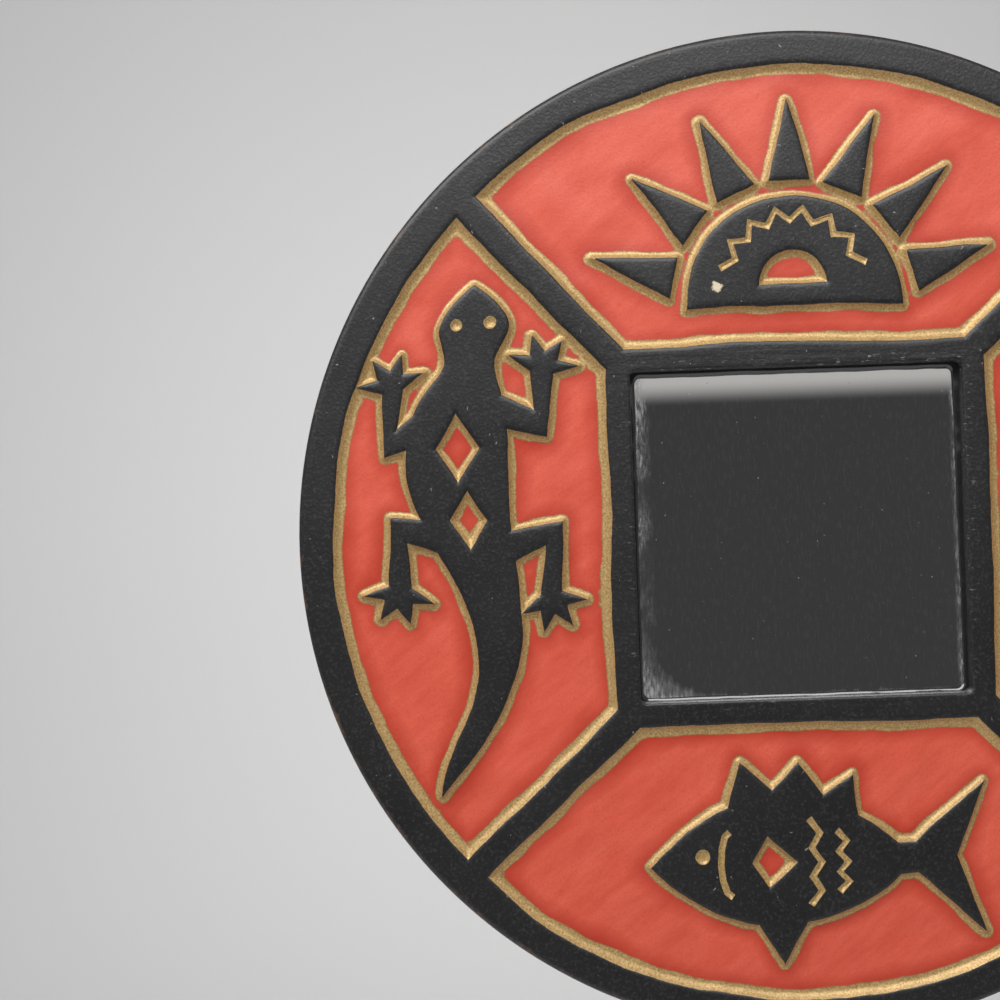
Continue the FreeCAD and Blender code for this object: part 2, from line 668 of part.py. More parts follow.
pieces = [make_frame(make_board()), make_glass(), make_bead(), make_card(), make_backing()]
pieces += [make_pin(number, x, z) for number, (x, z) in enumerate(pin_places(), start=1)]
pieces += [make_strap(), make_ring()]
pieces += [make_screw(name, drop) for name, drop in SCREW_DROPS.items()]
doc.recompute()

for item in doc.Objects:
    if "Invalid" in item.State or "Error" in item.State:
        raise RuntimeError(f"{item.Name} failed: {item.State}")
for item in pieces:
    if item.Shape.isNull() or not item.Shape.isValid() or len(item.Shape.Solids) != 1:
        raise RuntimeError(f"{item.Label} is not one valid solid")

os.makedirs("parts", exist_ok=True)
for item in pieces:
    item.Shape.exportStep(os.path.join("parts", f"{item.Label}.step"))
    print(f"{item.Label}: {item.Shape.Volume / 1000:.2f} cm3, {len(item.Shape.Faces)} faces")
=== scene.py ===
# %% [markdown]
# # A painted wall mirror
# A round board is carved in low relief. Its rim, four bars, a square surround and the ornaments
# keep the full height, and the panels between them are sunk. The high parts are painted black,
# the sunk grounds coral red, and every slope between the two is gold. The CAD frame already holds
# the true sizes, so this lesson loads it first and then adds what a knife and a brush would add.

# %% Load the frame
import math

import bmesh
import bpy
import numpy as np
from mathutils import Matrix, Vector, kdtree, noise
from mathutils.bvhtree import BVHTree
from mathutils.geometry import delaunay_2d_cdt


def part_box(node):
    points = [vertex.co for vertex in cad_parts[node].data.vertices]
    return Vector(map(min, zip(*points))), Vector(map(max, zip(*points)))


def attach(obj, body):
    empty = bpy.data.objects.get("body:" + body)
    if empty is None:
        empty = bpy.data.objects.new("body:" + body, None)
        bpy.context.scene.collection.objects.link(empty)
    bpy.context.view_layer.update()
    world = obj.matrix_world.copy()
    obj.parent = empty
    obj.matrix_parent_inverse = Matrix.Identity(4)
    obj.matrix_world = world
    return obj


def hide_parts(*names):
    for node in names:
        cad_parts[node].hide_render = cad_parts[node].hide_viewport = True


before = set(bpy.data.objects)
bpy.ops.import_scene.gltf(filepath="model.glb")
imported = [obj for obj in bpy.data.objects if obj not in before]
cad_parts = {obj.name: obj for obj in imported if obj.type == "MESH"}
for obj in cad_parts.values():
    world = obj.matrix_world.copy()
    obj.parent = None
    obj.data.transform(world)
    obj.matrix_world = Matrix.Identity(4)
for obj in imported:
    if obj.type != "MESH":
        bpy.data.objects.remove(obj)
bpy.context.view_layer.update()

# %% [markdown]
# ## The outlines to carve
# In the CAD model every step of the relief is a straight wall. A carver starts the same way, with
# an outline drawn on the board. The outlines could be drawn a second time here, but then the two
# models might drift apart, so they are read from the CAD mesh: all triangles that lie flat at one
# depth, and of those the edges that no second triangle shares. Each edge keeps its direction, so
# the flat area is always on its left and "left" later means "towards the ground".

# %% Triangles of the CAD board
MM = 1000.0  # millimetres in a metre


def corners_of(node):
    """Corners of a CAD node's triangles, in millimetres."""
    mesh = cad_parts[node].data
    mesh.calc_loop_triangles()
    index = np.empty(3 * len(mesh.loop_triangles), np.int32)
    mesh.loop_triangles.foreach_get("vertices", index)
    place = np.empty(3 * len(mesh.vertices), np.float32)
    mesh.vertices.foreach_get("co", place)
    return place.reshape(-1, 3).astype(float)[index.reshape(-1, 3)] * MM


board_triangles = corners_of("carved_frame")
print("CAD board:", len(board_triangles), "triangles")

# %% Outlines of the relief
FACE, LINE, GROUND, SHELF = 18.0, 17.2, 15.5, 11.0  # depths in front of the wall, mm
LEVEL = 0.05  # mm by which a flat area may miss its depth
PANEL_AREA = 5000  # square mm; the four panels are larger, the ornaments smaller


def outlines(depth):
    """Closed outlines, seen from the front, of all of the board that lies flat at one depth."""
    flat = board_triangles[np.all(np.abs(board_triangles[:, :, 1] + depth) < LEVEL, axis=1)]
    edges = {}
    for triangle in np.round(flat[:, :, (0, 2)], 3).tolist():
        a, b, c = map(tuple, triangle)
        for edge in ((a, b), (b, c), (c, a)):
            if edges.pop(edge[::-1], None) is None:
                edges[edge] = True
    following = dict(list(edges))
    loops = []
    while following:
        loop = [next(iter(following))]
        point = following.pop(loop[0])
        while point != loop[0]:
            loop.append(point)
            point = following.pop(point)
        loops.append(np.array(loop))
    return loops


def area(loop):
    """Area of a closed outline, positive if the ground is inside it."""
    after = np.roll(loop, -1, axis=0)
    return (np.dot(loop[:, 0], after[:, 1]) - np.dot(loop[:, 1], after[:, 0])) / 2


def reach(loop):
    """How far an outline goes from the middle of the board."""
    return np.abs(loop).max()


relief = outlines(GROUND)
panels = [loop for loop in relief if area(loop) > PANEL_AREA]
ornaments = [loop for loop in relief if area(loop) <= PANEL_AREA]
cut_lines = outlines(LINE)
opening = min(outlines(SHELF), key=reach)[::-1]
back_edge = max(outlines(0), key=reach)
print(len(panels), "panels,", len(ornaments), "ornament outlines,", len(cut_lines), "cut lines")

# %% [markdown]
# ## Rows of points beside an outline
# A slope that follows an outline needs rows of vertices that run beside it. A bevel could make
# them, but it fails where two outlines come close. Here each outline is walked in short steps, and
# at a corner the direction turns in a small fan. A row is the walk moved sideways, without the
# points that have come nearer to another part of an outline.

# %% Walk along an outline
STEP = 1.0  # mm between two points of a row
FAN = math.radians(25)  # widest turn between two directions at a corner


def walk(loop, step):
    """Points along a closed outline, and the direction to its left at each of them."""
    points, lefts = [], []
    sides = np.roll(loop, -1, axis=0) - loop
    lengths = np.linalg.norm(sides, axis=1)
    headings = np.arctan2(sides[:, 1], sides[:, 0])
    for index, corner in enumerate(loop):
        turn = (headings[index] - headings[index - 1] + math.pi) % (2 * math.pi) - math.pi
        fan = math.ceil(abs(turn) / FAN)
        shares = np.linspace(0, 1, fan + 1) if fan > 1 else np.array([0.5])
        for heading in headings[index - 1] + turn * shares:
            points.append(corner)
            lefts.append((-math.sin(heading), math.cos(heading)))
        count = max(1, round(lengths[index] / step))
        for part in range(1, count):
            points.append(corner + sides[index] * part / count)
            lefts.append((-math.sin(headings[index]), math.cos(headings[index])))
    return np.array(points), np.array(lefts)


print("steps along the opening:", len(walk(opening, STEP)[0]))

# %% Distances to the outlines
FINE_STEP = 0.2  # mm between the points that distances are measured to


def nearest(loops):
    """Function that gives the distance from points to the nearest of some outlines."""
    dense = np.concatenate([walk(loop, FINE_STEP)[0] for loop in loops])
    tree = kdtree.KDTree(len(dense))
    for index, (x, z) in enumerate(dense):
        tree.insert((x, 0, z), index)
    tree.balance()
    return lambda points: np.array([tree.find((x, 0, z))[2] for x, z in points])


to_relief, to_panel, to_ornament = nearest(relief), nearest(panels), nearest(ornaments)
to_line, to_opening = nearest(cut_lines), nearest([opening])
print("surround, mm from opening to panel:", round(float(to_panel(opening).min()), 2))

# %% Rows beside the outlines
NEARER = 0.06  # mm by which a point of a row may be nearer to another outline
SLOPE_ROWS, BLACK_ROWS = (0.3, 0.8, 1.4, 2.1, 2.8, 3.6), (-0.35, -0.9, -1.7)  # mm from the outlines
LINE_ROWS, OPENING_ROWS = (0.5, 1.05, -0.4), (0.15, 0.35, 0.65, 1.1, 1.9)


def rows_beside(loops, distances, measure):
    """Rows of points at some distances to the left of outlines (to the right if negative)."""
    walks = [walk(loop, STEP) for loop in loops]
    points = np.concatenate([walked[0] for walked in walks])
    lefts = np.concatenate([walked[1] for walked in walks])
    moved = [(points + lefts * distance, abs(distance)) for distance in distances]
    return np.concatenate([row[measure(row) > distance - NEARER] for row, distance in moved])


rows = [
    rows_beside(relief, SLOPE_ROWS, to_relief),
    rows_beside(relief, BLACK_ROWS, to_relief),
    rows_beside(cut_lines, LINE_ROWS, to_line),
    rows_beside([opening], OPENING_ROWS, to_opening),
]
print("points in rows:", sum(map(len, rows)))

# %% [markdown]
# ## Vertices of the carved face
# The face gets four kinds of vertices: the outlines themselves, the rows beside them, rings on the
# rounded rim, and a loose grid that fills the rest. A fine even grid would need millions of
# triangles. Triangulating these points in the plane, with the outlines as fixed edges, gives a
# mesh that is fine on the slopes and coarse where nothing happens.

# %% Rings on the rim
RADIUS, RIM_POINTS = 200.0, 720  # mm, and points on the board's circle
RIM_ROUND, OPENING_ROUND = 2.6, 1.1  # radii of the two rounded edges, mm
RING_ANGLES = (75, 58, 42, 28, 14, 0)  # degrees on the rim's rounding
FLAT_RING = 1.2  # mm from the rounding to the last ring

rim_angles = np.arange(RIM_POINTS) * 2 * math.pi / RIM_POINTS
circle = np.stack([np.cos(rim_angles), np.sin(rim_angles)], axis=1)
rim_rings = [RADIUS - RIM_ROUND * (1 - math.sin(math.radians(angle))) for angle in RING_ANGLES]
rim_rings.append(RADIUS - RIM_ROUND - FLAT_RING)
print("radii of the rim's rings, mm:", [round(ring, 2) for ring in rim_rings])

# %% A loose grid for the rest
FILL = 3.0  # mm between two points of the grid
GRID_REACH = 1.2  # rows lie closer than points, so the grid starts taller than the board
CLEAR_GROUND, CLEAR_FACE, CLEAR_LINE, CLEAR_OPENING = 4.6, 2.6, 1.3, 3.2  # mm left to the rows
CLEAR_RIM = 1.0

solid = BVHTree.FromPolygons(board_triangles.reshape(-1, 3).tolist(),
                             np.arange(board_triangles.size // 3).reshape(-1, 3).tolist())


def depth_under(points):
    """Depth at which the CAD board is met from the front; nan inside the opening."""
    hits = [solid.ray_cast(Vector((x, -2 * FACE, z)), Vector((0, 1, 0)))[0] for x, z in points]
    return np.array([-hit.y if hit else math.nan for hit in hits])


heights = np.arange(-RADIUS * GRID_REACH, RADIUS * GRID_REACH, FILL)
grid = np.array([(x + (FILL / 2 if row % 2 else 0), z * math.sqrt(0.75))
                 for row, z in enumerate(heights) for x in np.arange(-RADIUS, RADIUS, FILL)])
grid = grid[np.linalg.norm(grid, axis=1) < rim_rings[-1] - CLEAR_RIM]
grid_depth = depth_under(grid)
in_ground = grid_depth < (LINE + GROUND) / 2
clear = to_relief(grid) > np.where(in_ground, CLEAR_GROUND, CLEAR_FACE)
clear &= (to_line(grid) > CLEAR_LINE) & (to_opening(grid) > CLEAR_OPENING) & ~np.isnan(grid_depth)
grid = grid[clear]
print("points in the grid:", len(grid))

# %% Triangulate the face
SAME_POINT = 1e-4  # mm


def closed(first, count):
    """Edges of a closed loop of points, as pairs of numbers."""
    return [(first + k, first + (k + 1) % count) for k in range(count)]


def triangulate(points, edges):
    """Plane triangulation with fixed edges: points, triangles and where each old point went."""
    made = delaunay_2d_cdt([Vector(p) for p in points], edges, [], 0, SAME_POINT)
    went_to = {old: new for new, olds in enumerate(made[3]) for old in olds}
    return np.array([tuple(v) for v in made[0]]), np.array(made[2]), went_to


fixed = [np.array([p for p, q in zip(points, np.roll(points, 1, axis=0)) if tuple(p) != tuple(q)])
         for points in (walk(loop, STEP)[0] for loop in relief + cut_lines + [opening])]
fixed.append(circle * RADIUS)
firsts = np.cumsum([0] + [len(loop) for loop in fixed]).tolist()
fixed_edges = [edge for first, loop in zip(firsts, fixed) for edge in closed(first, len(loop))]
rings = [circle * ring for ring in rim_rings]
plan, faces, went_to = triangulate(np.concatenate(fixed + rows + rings + [grid]), fixed_edges)
middles = plan[faces].mean(axis=1)
in_opening = np.isnan(depth_under(middles)) & (np.linalg.norm(middles, axis=1) < RADIUS / 2)
faces = faces[~in_opening]
print(len(plan), "points and", len(faces), "triangles on the face")

# %% [markdown]
# ## The carver's section
# Every depth follows from two distances: how far a point is from the nearest outline, and on which
# side of it. The knife leaves a steep start that runs out in a hollow foot. A bevel would be flat
# and even, so the section is written as a curve. The rim and the opening get a plain rounding.

# %% Where each point lies
RIM_WIDTH = 13.0  # mm
ON_WALL = 0.15  # mm; a ray straight down a wall may stop anywhere on it
PANEL_GOLD, ORNAMENT_GOLD = 3.9, 2.7  # width of the gold between black and red, mm

under = depth_under(plan)
from_rim = RADIUS - np.linalg.norm(plan, axis=1)
from_opening = to_opening(plan)
sure = (from_rim > RIM_WIDTH) & (np.minimum(to_relief(plan), from_opening) > ON_WALL)
sunk = np.where(sure & (np.abs(under - GROUND) < LEVEL), 1, -1)
panel, ornament = to_panel(plan) * sunk, to_ornament(plan) * sunk
edge = np.where(np.abs(panel) < np.abs(ornament), panel, ornament)
red_edge = np.minimum(panel - PANEL_GOLD, ornament - ORNAMENT_GOLD)
line = to_line(plan) * np.where(sure & (np.abs(under - LINE) < LEVEL), 1, -1)
print("widest ground, mm from an outline:", round(float(edge.max()), 1))

# %% Depth of the cut
RELIEF, LINE_DEPTH = FACE - GROUND, FACE - LINE
PANEL_SLOPE, ORNAMENT_SLOPE, LINE_SLOPE = 3.0, 2.2, 0.9  # width of a slope, mm
FOOT_CURVE, LINE_CURVE = 1.7, 0.8  # 1 is a straight slope
EDGE_DROP, EDGE_ROUND = 0.42, 1.8  # depth and width of the softened black edge, mm

foot = np.clip(np.minimum(panel / PANEL_SLOPE, ornament / ORNAMENT_SLOPE), 0, 1)
slope = EDGE_DROP + (RELIEF - EDGE_DROP) * (1 - (1 - foot) ** FOOT_CURVE)
drop = np.where(edge > 0, slope, EDGE_DROP * np.clip(1 + edge / EDGE_ROUND, 0, 1) ** 2)
drop += LINE_DEPTH * np.clip(line / LINE_SLOPE, 0, 1) ** LINE_CURVE
for distance, radius in ((from_rim, RIM_ROUND), (from_opening, OPENING_ROUND)):
    over = np.clip(radius - distance, 0, radius)
    drop += radius - np.sqrt(radius**2 - over**2)
print("points on the slopes:", int(np.sum((foot > 0) & (foot < 1))))

# %% [markdown]
# ## The carver's hand
# A board cut by hand is nowhere quite straight or level. Slow noise bends the outlines and dishes
# the grounds a little. A bump in the material could fake this for one light; moving the vertices
# keeps it in the mesh. The rim and the opening stay true, because other pieces meet them there.

# %% Wander of the hand
CALM = 8.0  # mm beside the rim and the opening in which the hand grows steady
SWING, TREMBLE = (30, 1.3), (9, 0.3)  # mm: size of the noise and how far it moves an outline
DISH, WARP = (16, 0.5), (40, 0.3)  # the same for the depth of a ground and of the whole face
DISH_START, DISH_RUN = 1.5, 5.0  # mm from an outline


def wander(size, seed):
    """Slow noise from -1 to 1 for a feature size in millimetres."""
    return np.array([noise.noise(Vector((x / size, z / size, seed))) for x, z in plan])


def sideways(seed):
    """Wandering of the outlines along one axis, in millimetres."""
    return (wander(SWING[0], seed) * SWING[1] + wander(TREMBLE[0], seed + 5) * TREMBLE[1]) * calm


calm = np.clip(np.minimum(from_rim, from_opening) / CALM, 0, 1)
hollow = wander(DISH[0], 3.7) * np.clip((edge - DISH_START) / DISH_RUN, 0, 1) * DISH[1]
hollow += wander(WARP[0], 8.1) * calm * WARP[1]
face_points = np.column_stack([
    plan[:, 0] + sideways(0.5), -FACE + drop + hollow, plan[:, 1] + sideways(20.5)])
depths = face_points[np.unique(faces), 1] + FACE
print("deepest point of the carving, mm:", round(float(depths.max()), 2))

# %% [markdown]
# ## One closed board
# The face is joined with the side of the disc, a small chamfer, the wall of the opening and the
# CAD model's own back, with its rebates, hanger recess and holes. A boolean could join them, but it
# would leave slivers. Here every patch ends on the points of its neighbour, and merging those
# closes the board. The distances stay on the vertices as attributes, because the painter followed
# them.

# %% Side of the disc
SIDE_DEPTHS = (12.0, 8.0, 4.0, 1.0)  # rings down the side, mm in front of the wall

board_points, board_faces = [face_points], [faces]


def next_point():
    """Number that the next point of the board will have."""
    return sum(map(len, board_points))


def patch(points, triangles):
    """Add points, and triangles that are numbered through all of the board's points."""
    board_points.append(points)
    board_faces.append(np.array(triangles))


def at_depth(points, depth):
    """Points of the plan, put at a depth in front of the wall."""
    return np.column_stack([points[:, 0], np.full(len(points), -depth), points[:, 1]])


upper_ring = np.array([went_to[k] for k in range(firsts[-2], firsts[-1])])
for depth in SIDE_DEPTHS:
    ring = np.arange(RIM_POINTS) + next_point()
    upper_next, ring_next = np.roll(upper_ring, -1), np.roll(ring, -1)
    halves = [(upper_ring, ring, ring_next), (upper_ring, ring_next, upper_next)]
    patch(at_depth(circle * RADIUS, depth), np.concatenate([np.column_stack(h) for h in halves]))
    upper_ring = ring
print("side of the disc:", sum(map(len, board_faces[1:])), "triangles")

# %% Chamfer to the back
CHAMFER = 0.5  # mm from the side within which a point belongs to the side

strip_edges = closed(0, RIM_POINTS) + closed(RIM_POINTS, len(back_edge))
strip, strip_faces, _ = triangulate(np.concatenate([circle * RADIUS, back_edge]), strip_edges)
on_side = np.linalg.norm(strip, axis=1) > RADIUS - CHAMFER
strip_depth = np.where(on_side, -SIDE_DEPTHS[-1], 0)
strip_faces = strip_faces[np.any(on_side[strip_faces], axis=1)] + next_point()
patch(np.column_stack([strip[:, 0], strip_depth, strip[:, 1]]), strip_faces)
print("chamfer:", len(strip_faces), "triangles")

# %% Wall of the opening
wall = fixed[-2]
wall_tops = [went_to[k] for k in range(firsts[-3], firsts[-2])]
opening_corners = set(map(tuple, opening))
turns = [k for k, point in enumerate(wall) if tuple(point) in opening_corners]
for turn, next_turn in zip(turns, turns[1:] + [turns[0] + len(wall)]):
    run = [k % len(wall) for k in range(turn, next_turn + 1)]
    tops = [wall_tops[k] for k in run]
    low, half = next_point(), len(run) // 2
    fan = [(tops[k], tops[k + 1], low if k < half else low + 1) for k in range(len(run) - 1)]
    patch(at_depth(wall[[run[0], run[-1]]], SHELF), fan + [(low, low + 1, tops[half])])
print("wall of the opening:", len(turns), "runs")

# %% Back of the board
front_faces = sum(map(len, board_faces))
back = board_triangles[np.all(board_triangles[:, :, 1] > -SHELF - LEVEL, axis=1)]
back_reach = np.linalg.norm(back[:, :, (0, 2)], axis=2)
back = back[np.all(back_reach < RADIUS - CHAMFER, axis=1)]
patch(back.reshape(-1, 3), np.arange(3 * len(back)).reshape(-1, 3) + next_point())
print("back, from the CAD board:", len(back), "triangles")

# %% Join the patches
OFF_FACE = -30.0  # distance given to points that are not on the face, mm

points, triangles = np.concatenate(board_points), np.concatenate(board_faces)
board_mesh = bpy.data.meshes.new("carved_board")
board_mesh.from_pydata((points / MM).tolist(), [], triangles.tolist())
for name, values in {"edge_mm": edge, "red_mm": red_edge, "line_mm": line}.items():
    spread = np.full(len(points), OFF_FACE, np.float32)
    spread[:len(values)] = values
    board_mesh.attributes.new(name, "FLOAT", "POINT").data.foreach_set("value", spread)
finishes = np.zeros(len(triangles), np.int32)  # 0 is paint, 1 bare wood
finishes[front_faces:] = 1
board_mesh.polygons.foreach_set("material_index", finishes)
print("joined:", len(points), "points")

# %% Close the board
MERGE = 3e-6  # metres
SHARP = math.radians(42)  # edges that turn further stay crisp

shell = bmesh.new()
shell.from_mesh(board_mesh)
bmesh.ops.remove_doubles(shell, verts=shell.verts, dist=MERGE)
bmesh.ops.recalc_face_normals(shell, faces=shell.faces)
open_edges = sum(not side.is_manifold for side in shell.edges)
shell.to_mesh(board_mesh)
shell.free()
board_mesh.shade_smooth()
board_mesh.set_sharp_from_angle(angle=SHARP)
board = bpy.data.objects.new("carved_board", board_mesh)
bpy.context.scene.collection.objects.link(board)
print("board:", len(board_mesh.polygons), "triangles,", open_edges, "edges that do not close")

# %% [markdown]
# ## Nodes and colours
# Every finish below is a tree of nodes, and so is every shape that is swept or set out. Trees can
# be drawn by hand in the node editor; written as code, they can be read from top to bottom. One
# helper links or sets a node's inputs and one adds a node. Colours are written as a colour picker
# shows them and turned to the linear values that the renderer works with. The sizes of patterns
# are real millimetres. Inputs are counted where their names repeat. A Map Range takes a value at 0,
# the range it comes from at 1 and 2, and the range it goes to at 3 and 4, which is 0 to 1 where
# nothing is said. A Mix takes its share at 0, two numbers at 2 and 3, and two colours at 6 and 7.

# %% Helpers for nodes and colours


def feed(tree, node, links):
    """Link or set some inputs of a node; a node as source stands for its first output in use."""
    for socket, source in links.items():
        if isinstance(source, bpy.types.Node):
            source = next(output for output in source.outputs if output.enabled)
        if isinstance(source, bpy.types.NodeSocket):
            tree.links.new(source, node.inputs[socket])
        else:
            node.inputs[socket].default_value = source


def add(tree, kind, links=None, **settings):
    """Add a node with its settings and links."""
    node = tree.nodes.new(kind)
    for name, setting in settings.items():
        setattr(node, name, setting)
    feed(tree, node, links or {})
    return node


def linear(hex_colour):
    """Linear colour with alpha from an sRGB hex value."""
    shares = [int(hex_colour[k:k + 2], 16) / 255 for k in (1, 3, 5)]
    light = [s / 12.92 if s <= 0.04045 else ((s + 0.055) / 1.055) ** 2.4 for s in shares]
    return (*light, 1.0)


def per_mm(size):
    """Scale of a pattern in object space for a feature of a size in millimetres."""
    return MM / size


print("coral red in linear light:", [round(share, 3) for share in linear("#d35b46")])

# %% [markdown]
# ## Where each paint lies
# The board was painted by hand with matt water paint: black on everything high, red in the grounds,
# and bronze-powder gold along the slopes. An image could hold the colours, but it is only as fine
# as its pixels. The vertices already know their distance to the outlines, so each border is that
# distance plus noise: slow noise for the sway of the hand, and a little quick noise for the hairs
# of the brush.

# %% An empty finish


def bare_tree(owner):
    """Empty node tree of a material or of the world."""
    owner.use_nodes = True
    owner.node_tree.nodes.clear()
    return owner.node_tree


def new_material(name):
    """Material with an empty tree, its shader and its Object coordinates."""
    material = bpy.data.materials.new(name)
    tree = bare_tree(material)
    shader = add(tree, "ShaderNodeBsdfPrincipled")
    add(tree, "ShaderNodeOutputMaterial", {"Surface": shader})
    place = add(tree, "ShaderNodeTexCoord").outputs["Object"]
    return material, tree, shader, place


# Water paint and bronze powder: the eye gets soft black and flat red with a dull glint between.
paint, tree, shader, place = new_material("water_paint_and_bronze_gold_on_wood")
print("started:", paint.name)

# %% Borders between the paints
edge_at, red_at, line_at = (add(tree, "ShaderNodeAttribute", attribute_name=name).outputs["Fac"]
                            for name in ("edge_mm", "red_mm", "line_mm"))
brush_sway = add(tree, "ShaderNodeTexNoise", {"Vector": place, "Scale": per_mm(15), "Detail": 1.0})
brush_hair = add(tree, "ShaderNodeTexNoise", {"Vector": place, "Scale": per_mm(2.4), "Detail": 2.0})
sway = add(tree, "ShaderNodeSeparateColor", {0: brush_sway.outputs["Color"]}).outputs
hair = add(tree, "ShaderNodeSeparateColor", {0: brush_hair.outputs["Color"]}).outputs


def wavering(distance, channel, sway_mm, hair_mm):
    """A distance with slow and quick noise added, each of a width in millimetres."""
    for source, width in ((sway[channel], sway_mm), (hair[channel], hair_mm)):
        distance = add(tree, "ShaderNodeMath", {0: source, 1: width, 2: distance},
                       operation="MULTIPLY_ADD")
    middle = (sway_mm + hair_mm) / 2
    return add(tree, "ShaderNodeMath", {0: distance, 1: middle}, operation="SUBTRACT")


black_border = wavering(edge_at, 0, 0.8, 0.35)
red_border = wavering(red_at, 1, 2.3, 0.7)
line_border = wavering(line_at, 2, 0.4, 0.3)
off_black = add(tree, "ShaderNodeMapRange", {0: black_border, 1: -0.02, 2: 0.2})
in_red = add(tree, "ShaderNodeMapRange", {0: red_border, 1: -0.35, 2: 0.4})
in_line = add(tree, "ShaderNodeMapRange", {0: line_border, 1: -0.3, 2: -0.05})
gold_band = add(tree, "ShaderNodeMath", {0: off_black, 1: in_red},
                operation="SUBTRACT", use_clamp=True)
in_gold = add(tree, "ShaderNodeMath", {0: gold_band, 1: in_line}, operation="MAXIMUM")
print("borders of the paints:", len(tree.nodes), "nodes")

# %% [markdown]
# ## Wear of the black
# On the square surround the wood's grain shows through the black, and rubbed spots line the
# opening. The outer edge of the rim is worn to brown in short lengths. Small pale nicks are strewn
# over the black, and a few chips show the ground under the paint. Wear could be painted by hand
# as a texture; here each kind is a mask from Object coordinates, so it stays where it is on the
# board and can be made stronger or weaker with one number.

# %% Grain and rubbed spots of the surround
RUB_OUTER, RUB_INNER = 0.0712, 0.0675  # half sides of squares, metres: no rubbing, full rubbing
SURROUND_OUTER, SURROUND_INNER = 0.0795, 0.0775  # the same for the grain
GRAIN_FROM, GRAIN_FULL = 0.05, 0.068  # heights, metres: faint grain, full grain
RUB_LOW, RUB_HIGH = -0.06, 0.07  # heights, metres: least rubbing, most rubbing

parts = add(tree, "ShaderNodeSeparateXYZ", {0: place}).outputs
from_x, from_z = (add(tree, "ShaderNodeMath", {0: parts[k]}, operation="ABSOLUTE") for k in (0, 2))
square = add(tree, "ShaderNodeMath", {0: from_x, 1: from_z}, operation="MAXIMUM")

on_surround = add(tree, "ShaderNodeMapRange", {0: square, 1: SURROUND_OUTER, 2: SURROUND_INNER})
upper_run = add(tree, "ShaderNodeMapRange",
                {0: parts[2], 1: GRAIN_FROM, 2: GRAIN_FULL, 3: 0.12, 4: 1.0})
surround = add(tree, "ShaderNodeMath", {0: upper_run, 1: on_surround}, operation="MULTIPLY")
along_grain = add(tree, "ShaderNodeMapping", {"Vector": place, "Scale": (0.07, 1.0, 1.0)})
grain = add(tree, "ShaderNodeTexNoise",
            {"Vector": along_grain, "Scale": per_mm(1.7), "Detail": 3.0})

beside_opening = add(tree, "ShaderNodeMapRange", {0: square, 1: RUB_OUTER, 2: RUB_INNER})
more_above = add(tree, "ShaderNodeMapRange",
                 {0: parts[2], 1: RUB_LOW, 2: RUB_HIGH, 3: 0.2, 4: 0.6})
rub_way = add(tree, "ShaderNodeMapping", {"Vector": place, "Scale": (0.35, 1.0, 1.0)})
rubs = add(tree, "ShaderNodeTexNoise", {"Vector": rub_way, "Scale": per_mm(1.3), "Detail": 4.0})
rubbed = add(tree, "ShaderNodeMapRange", {0: rubs, 1: 0.62, 2: 0.74})
for where in (beside_opening, more_above):
    rubbed = add(tree, "ShaderNodeMath", {0: rubbed, 1: where}, operation="MULTIPLY")
print("with the surround's wear:", len(tree.nodes), "nodes")

# %% Worn edge of the rim
RAGGED = 0.004  # metres over which noise breaks up the border of a worn spot
WORN_RADIUS, WORN_OUTSIDE = 0.1982, 0.1996  # metres from the middle: first wear, full wear
WORN_DEPTH, WORN_FRONT = -0.0142, -0.0156  # the same along Y

torn = add(tree, "ShaderNodeVectorMath", {0: brush_hair.outputs["Color"], "Scale": RAGGED},
           operation="SCALE")
torn = add(tree, "ShaderNodeVectorMath", {0: place, 1: torn}, operation="ADD")
ragged = add(tree, "ShaderNodeVectorMath", {0: torn, 1: (RAGGED / 2,) * 3}, operation="SUBTRACT")
flat_place = add(tree, "ShaderNodeVectorMath", {0: ragged, 1: (1, 0, 1)}, operation="MULTIPLY")
from_middle = add(tree, "ShaderNodeVectorMath", {0: flat_place}, operation="LENGTH")
front = add(tree, "ShaderNodeSeparateXYZ", {0: ragged}).outputs[1]
on_rim_edge = add(tree, "ShaderNodeMapRange", {0: from_middle, 1: WORN_RADIUS, 2: WORN_OUTSIDE})
in_front = add(tree, "ShaderNodeMapRange", {0: front, 1: WORN_DEPTH, 2: WORN_FRONT})
knocks = add(tree, "ShaderNodeTexNoise",
             {"Vector": place, "Scale": per_mm(12), "Detail": 5.0, "Roughness": 0.7})
worn = add(tree, "ShaderNodeMapRange", {0: knocks, 1: 0.5, 2: 0.62, 4: 0.6})
for where in (on_rim_edge, in_front):
    worn = add(tree, "ShaderNodeMath", {0: worn, 1: where}, operation="MULTIPLY")
print("with the rim's wear:", len(tree.nodes), "nodes")

# %% Nicks and chips
CHIPS = {(-0.0305, 0, 0.0985): 0.0022, (-0.1335, 0, 0.035): 0.0008, (0.102, 0, -0.162): 0.0012}

nick_at = add(tree, "ShaderNodeTexVoronoi", {"Vector": ragged, "Scale": per_mm(7)})
nicks = add(tree, "ShaderNodeMapRange", {0: nick_at, 1: 0.065, 2: 0.03, 4: 0.6})
chipped = 0.0
for chip, size in CHIPS.items():
    off = add(tree, "ShaderNodeVectorMath", {0: flat_place, 1: chip}, operation="DISTANCE")
    bare = add(tree, "ShaderNodeMapRange", {0: off, 1: size, 2: size * 0.7})
    chipped = add(tree, "ShaderNodeMath", {0: chipped, 1: bare}, operation="MAXIMUM")
print("chips:", len(CHIPS), "with radii in mm of", [size * MM for size in CHIPS.values()])

